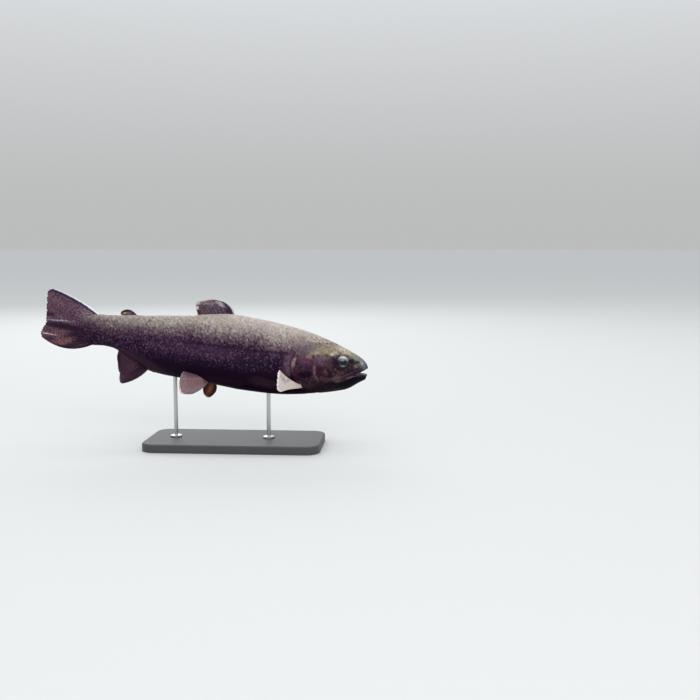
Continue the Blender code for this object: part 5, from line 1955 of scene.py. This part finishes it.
class TroutHeadSettings(bpy.types.PropertyGroup):
    pupil_radius: FloatProperty(
        name="Pupil radius", description="Radius of the pupil", default=0.0040, min=0.001, max=0.006,
        precision=4, unit="LENGTH",
    )
    pupil_forward: FloatProperty(
        name="Pupil forward", description="How far the pupil sits towards the snout, in millimetres",
        default=0.7, min=-3, max=3,
    )


class TroutFinSettings(bpy.types.PropertyGroup):
    ray_relief: FloatProperty(
        name="Ray relief", description="How far the rays stand out of the web", default=1.0, min=0, max=2,
        subtype="FACTOR",
    )
    wave: FloatProperty(
        name="Wave", description="How much the fins ripple from side to side", default=1.0, min=0, max=2,
        subtype="FACTOR",
    )


class TroutStandSettings(bpy.types.PropertyGroup):
    base_colour: FloatVectorProperty(
        name="Base colour", description="Paint of the base", default=(0.045, 0.046, 0.049), min=0, max=1,
        subtype="COLOR",
    )


class TroutStageSettings(bpy.types.PropertyGroup):
    floor_size: FloatProperty(
        name="Floor size", description="Width of the floor", default=60, min=2, unit="LENGTH"
    )
    floor_colour: FloatVectorProperty(
        name="Floor colour", description="Colour of the floor", default=(0.56, 0.57, 0.56), min=0, max=1,
        subtype="COLOR",
    )
    horizon_colour: FloatVectorProperty(
        name="Horizon colour", description="Colour of the light from the level", default=(0.50, 0.51, 0.51),
        min=0, max=1, subtype="COLOR",
    )
    sky_colour: FloatVectorProperty(
        name="Sky colour", description="Colour of the light from overhead", default=(0.93, 0.96, 1.0),
        min=0, max=1, subtype="COLOR",
    )
    sky_strength: FloatProperty(
        name="Sky strength", description="Strength of the light from all round", default=1.0, min=0, max=5
    )
    top_power: FloatProperty(
        name="Top light", description="Power of the light above", default=50, min=0, unit="POWER"
    )
    front_power: FloatProperty(
        name="Front light", description="Power of the light beside the camera", default=22, min=0,
        unit="POWER",
    )
    back_power: FloatProperty(
        name="Back light", description="Power of the light behind", default=18, min=0, unit="POWER"
    )
    lens: FloatProperty(
        name="Lens", description="Focal length", default=49.4, min=10, unit="CAMERA"
    )
    view_height: FloatProperty(
        name="View height", description="Height of the place the camera circles", default=HEIGHT,
        unit="LENGTH",
    )
    view_azimuth: FloatProperty(
        name="View azimuth", description="Where the camera stands, round from square-on towards the snout",
        default=math.radians(11.0), subtype="ANGLE",
    )
    view_elevation: FloatProperty(
        name="View elevation", description="How far the camera looks down", default=math.radians(6.535),
        subtype="ANGLE",
    )
    view_heading: FloatProperty(
        name="View heading", description="Which way the camera points; less than the azimuth sets the fish "
        "left of the middle", default=math.radians(4.099), subtype="ANGLE",
    )
    view_distance: FloatProperty(
        name="View distance", description="From the camera to the fish's balance point", default=1.4284,
        min=0.1, unit="LENGTH",
    )


class TROUT_OT_skin(bpy.types.Operator):
    """Build the skin of head and trunk"""

    bl_idname = "trout.skin"
    bl_label = "Skin"

    def execute(self, context):
        build_skin(context.scene.trout_coat)
        return {"FINISHED"}


class TROUT_OT_scales(bpy.types.Operator):
    """Lay the scales over the skin"""

    bl_idname = "trout.scales"
    bl_label = "Scales"

    def execute(self, context):
        build_scales(context.scene.trout_coat)
        return {"FINISHED"}


class TROUT_OT_eyes(bpy.types.Operator):
    """Set both eyes"""

    bl_idname = "trout.eyes"
    bl_label = "Eyes"

    def execute(self, context):
        build_eyes(context.scene.trout_head)
        return {"FINISHED"}


class TROUT_OT_mouth(bpy.types.Operator):
    """Put teeth and tongue in the open mouth"""

    bl_idname = "trout.mouth"
    bl_label = "Teeth and tongue"

    def execute(self, context):
        build_teeth()
        build_tongue()
        return {"FINISHED"}


class TROUT_OT_median_fins(bpy.types.Operator):
    """Build the dorsal, adipose, tail and anal fins"""

    bl_idname = "trout.median_fins"
    bl_label = "Median fins"

    def execute(self, context):
        build_median_fins(context.scene.trout_fins)
        return {"FINISHED"}


class TROUT_OT_paired_fins(bpy.types.Operator):
    """Build the pectoral and pelvic fins"""

    bl_idname = "trout.paired_fins"
    bl_label = "Paired fins"

    def execute(self, context):
        build_paired_fins(context.scene.trout_fins)
        return {"FINISHED"}


class TROUT_OT_stand(bpy.types.Operator):
    """Finish the display stand"""

    bl_idname = "trout.stand"
    bl_label = "Stand"

    def execute(self, context):
        finish_stand(context.scene.trout_stand)
        return {"FINISHED"}


class TROUT_OT_stage(bpy.types.Operator):
    """Set the floor, the lights and the camera"""

    bl_idname = "trout.stage"
    bl_label = "Stage"

    def execute(self, context):
        set_stage(context.scene.trout_stage)
        return {"FINISHED"}


OPERATORS = (
    TROUT_OT_skin, TROUT_OT_scales, TROUT_OT_eyes, TROUT_OT_mouth, TROUT_OT_median_fins,
    TROUT_OT_paired_fins, TROUT_OT_stand, TROUT_OT_stage,
)
SETTINGS = {
    "trout_coat": TroutCoatSettings,
    "trout_head": TroutHeadSettings,
    "trout_fins": TroutFinSettings,
    "trout_stand": TroutStandSettings,
    "trout_stage": TroutStageSettings,
}


class TROUT_PT_panel(bpy.types.Panel):
    bl_label = "Rainbow Trout"
    bl_idname = "TROUT_PT_panel"
    bl_space_type = "VIEW_3D"
    bl_region_type = "UI"
    bl_category = "Trout"

    def draw(self, context):
        for operator in OPERATORS:
            self.layout.operator(operator.bl_idname)
        for name, group in SETTINGS.items():
            box = self.layout.box()
            for key in group.__annotations__:
                box.prop(getattr(context.scene, name), key)


CLASSES = (*SETTINGS.values(), *OPERATORS, TROUT_PT_panel)


def register():
    for cls in CLASSES:
        bpy.utils.register_class(cls)
    for name, group in SETTINGS.items():
        setattr(bpy.types.Scene, name, PointerProperty(type=group))


def unregister():
    for name in SETTINGS:
        delattr(bpy.types.Scene, name)
    for cls in reversed(CLASSES):
        bpy.utils.unregister_class(cls)


def main():
    register()
    bpy.ops.trout.skin()
    bpy.ops.trout.scales()
    bpy.ops.trout.eyes()
    bpy.ops.trout.mouth()
    bpy.ops.trout.median_fins()
    bpy.ops.trout.paired_fins()
    bpy.ops.trout.stand()
    bpy.ops.trout.stage()


if __name__ == "__main__":
    main()
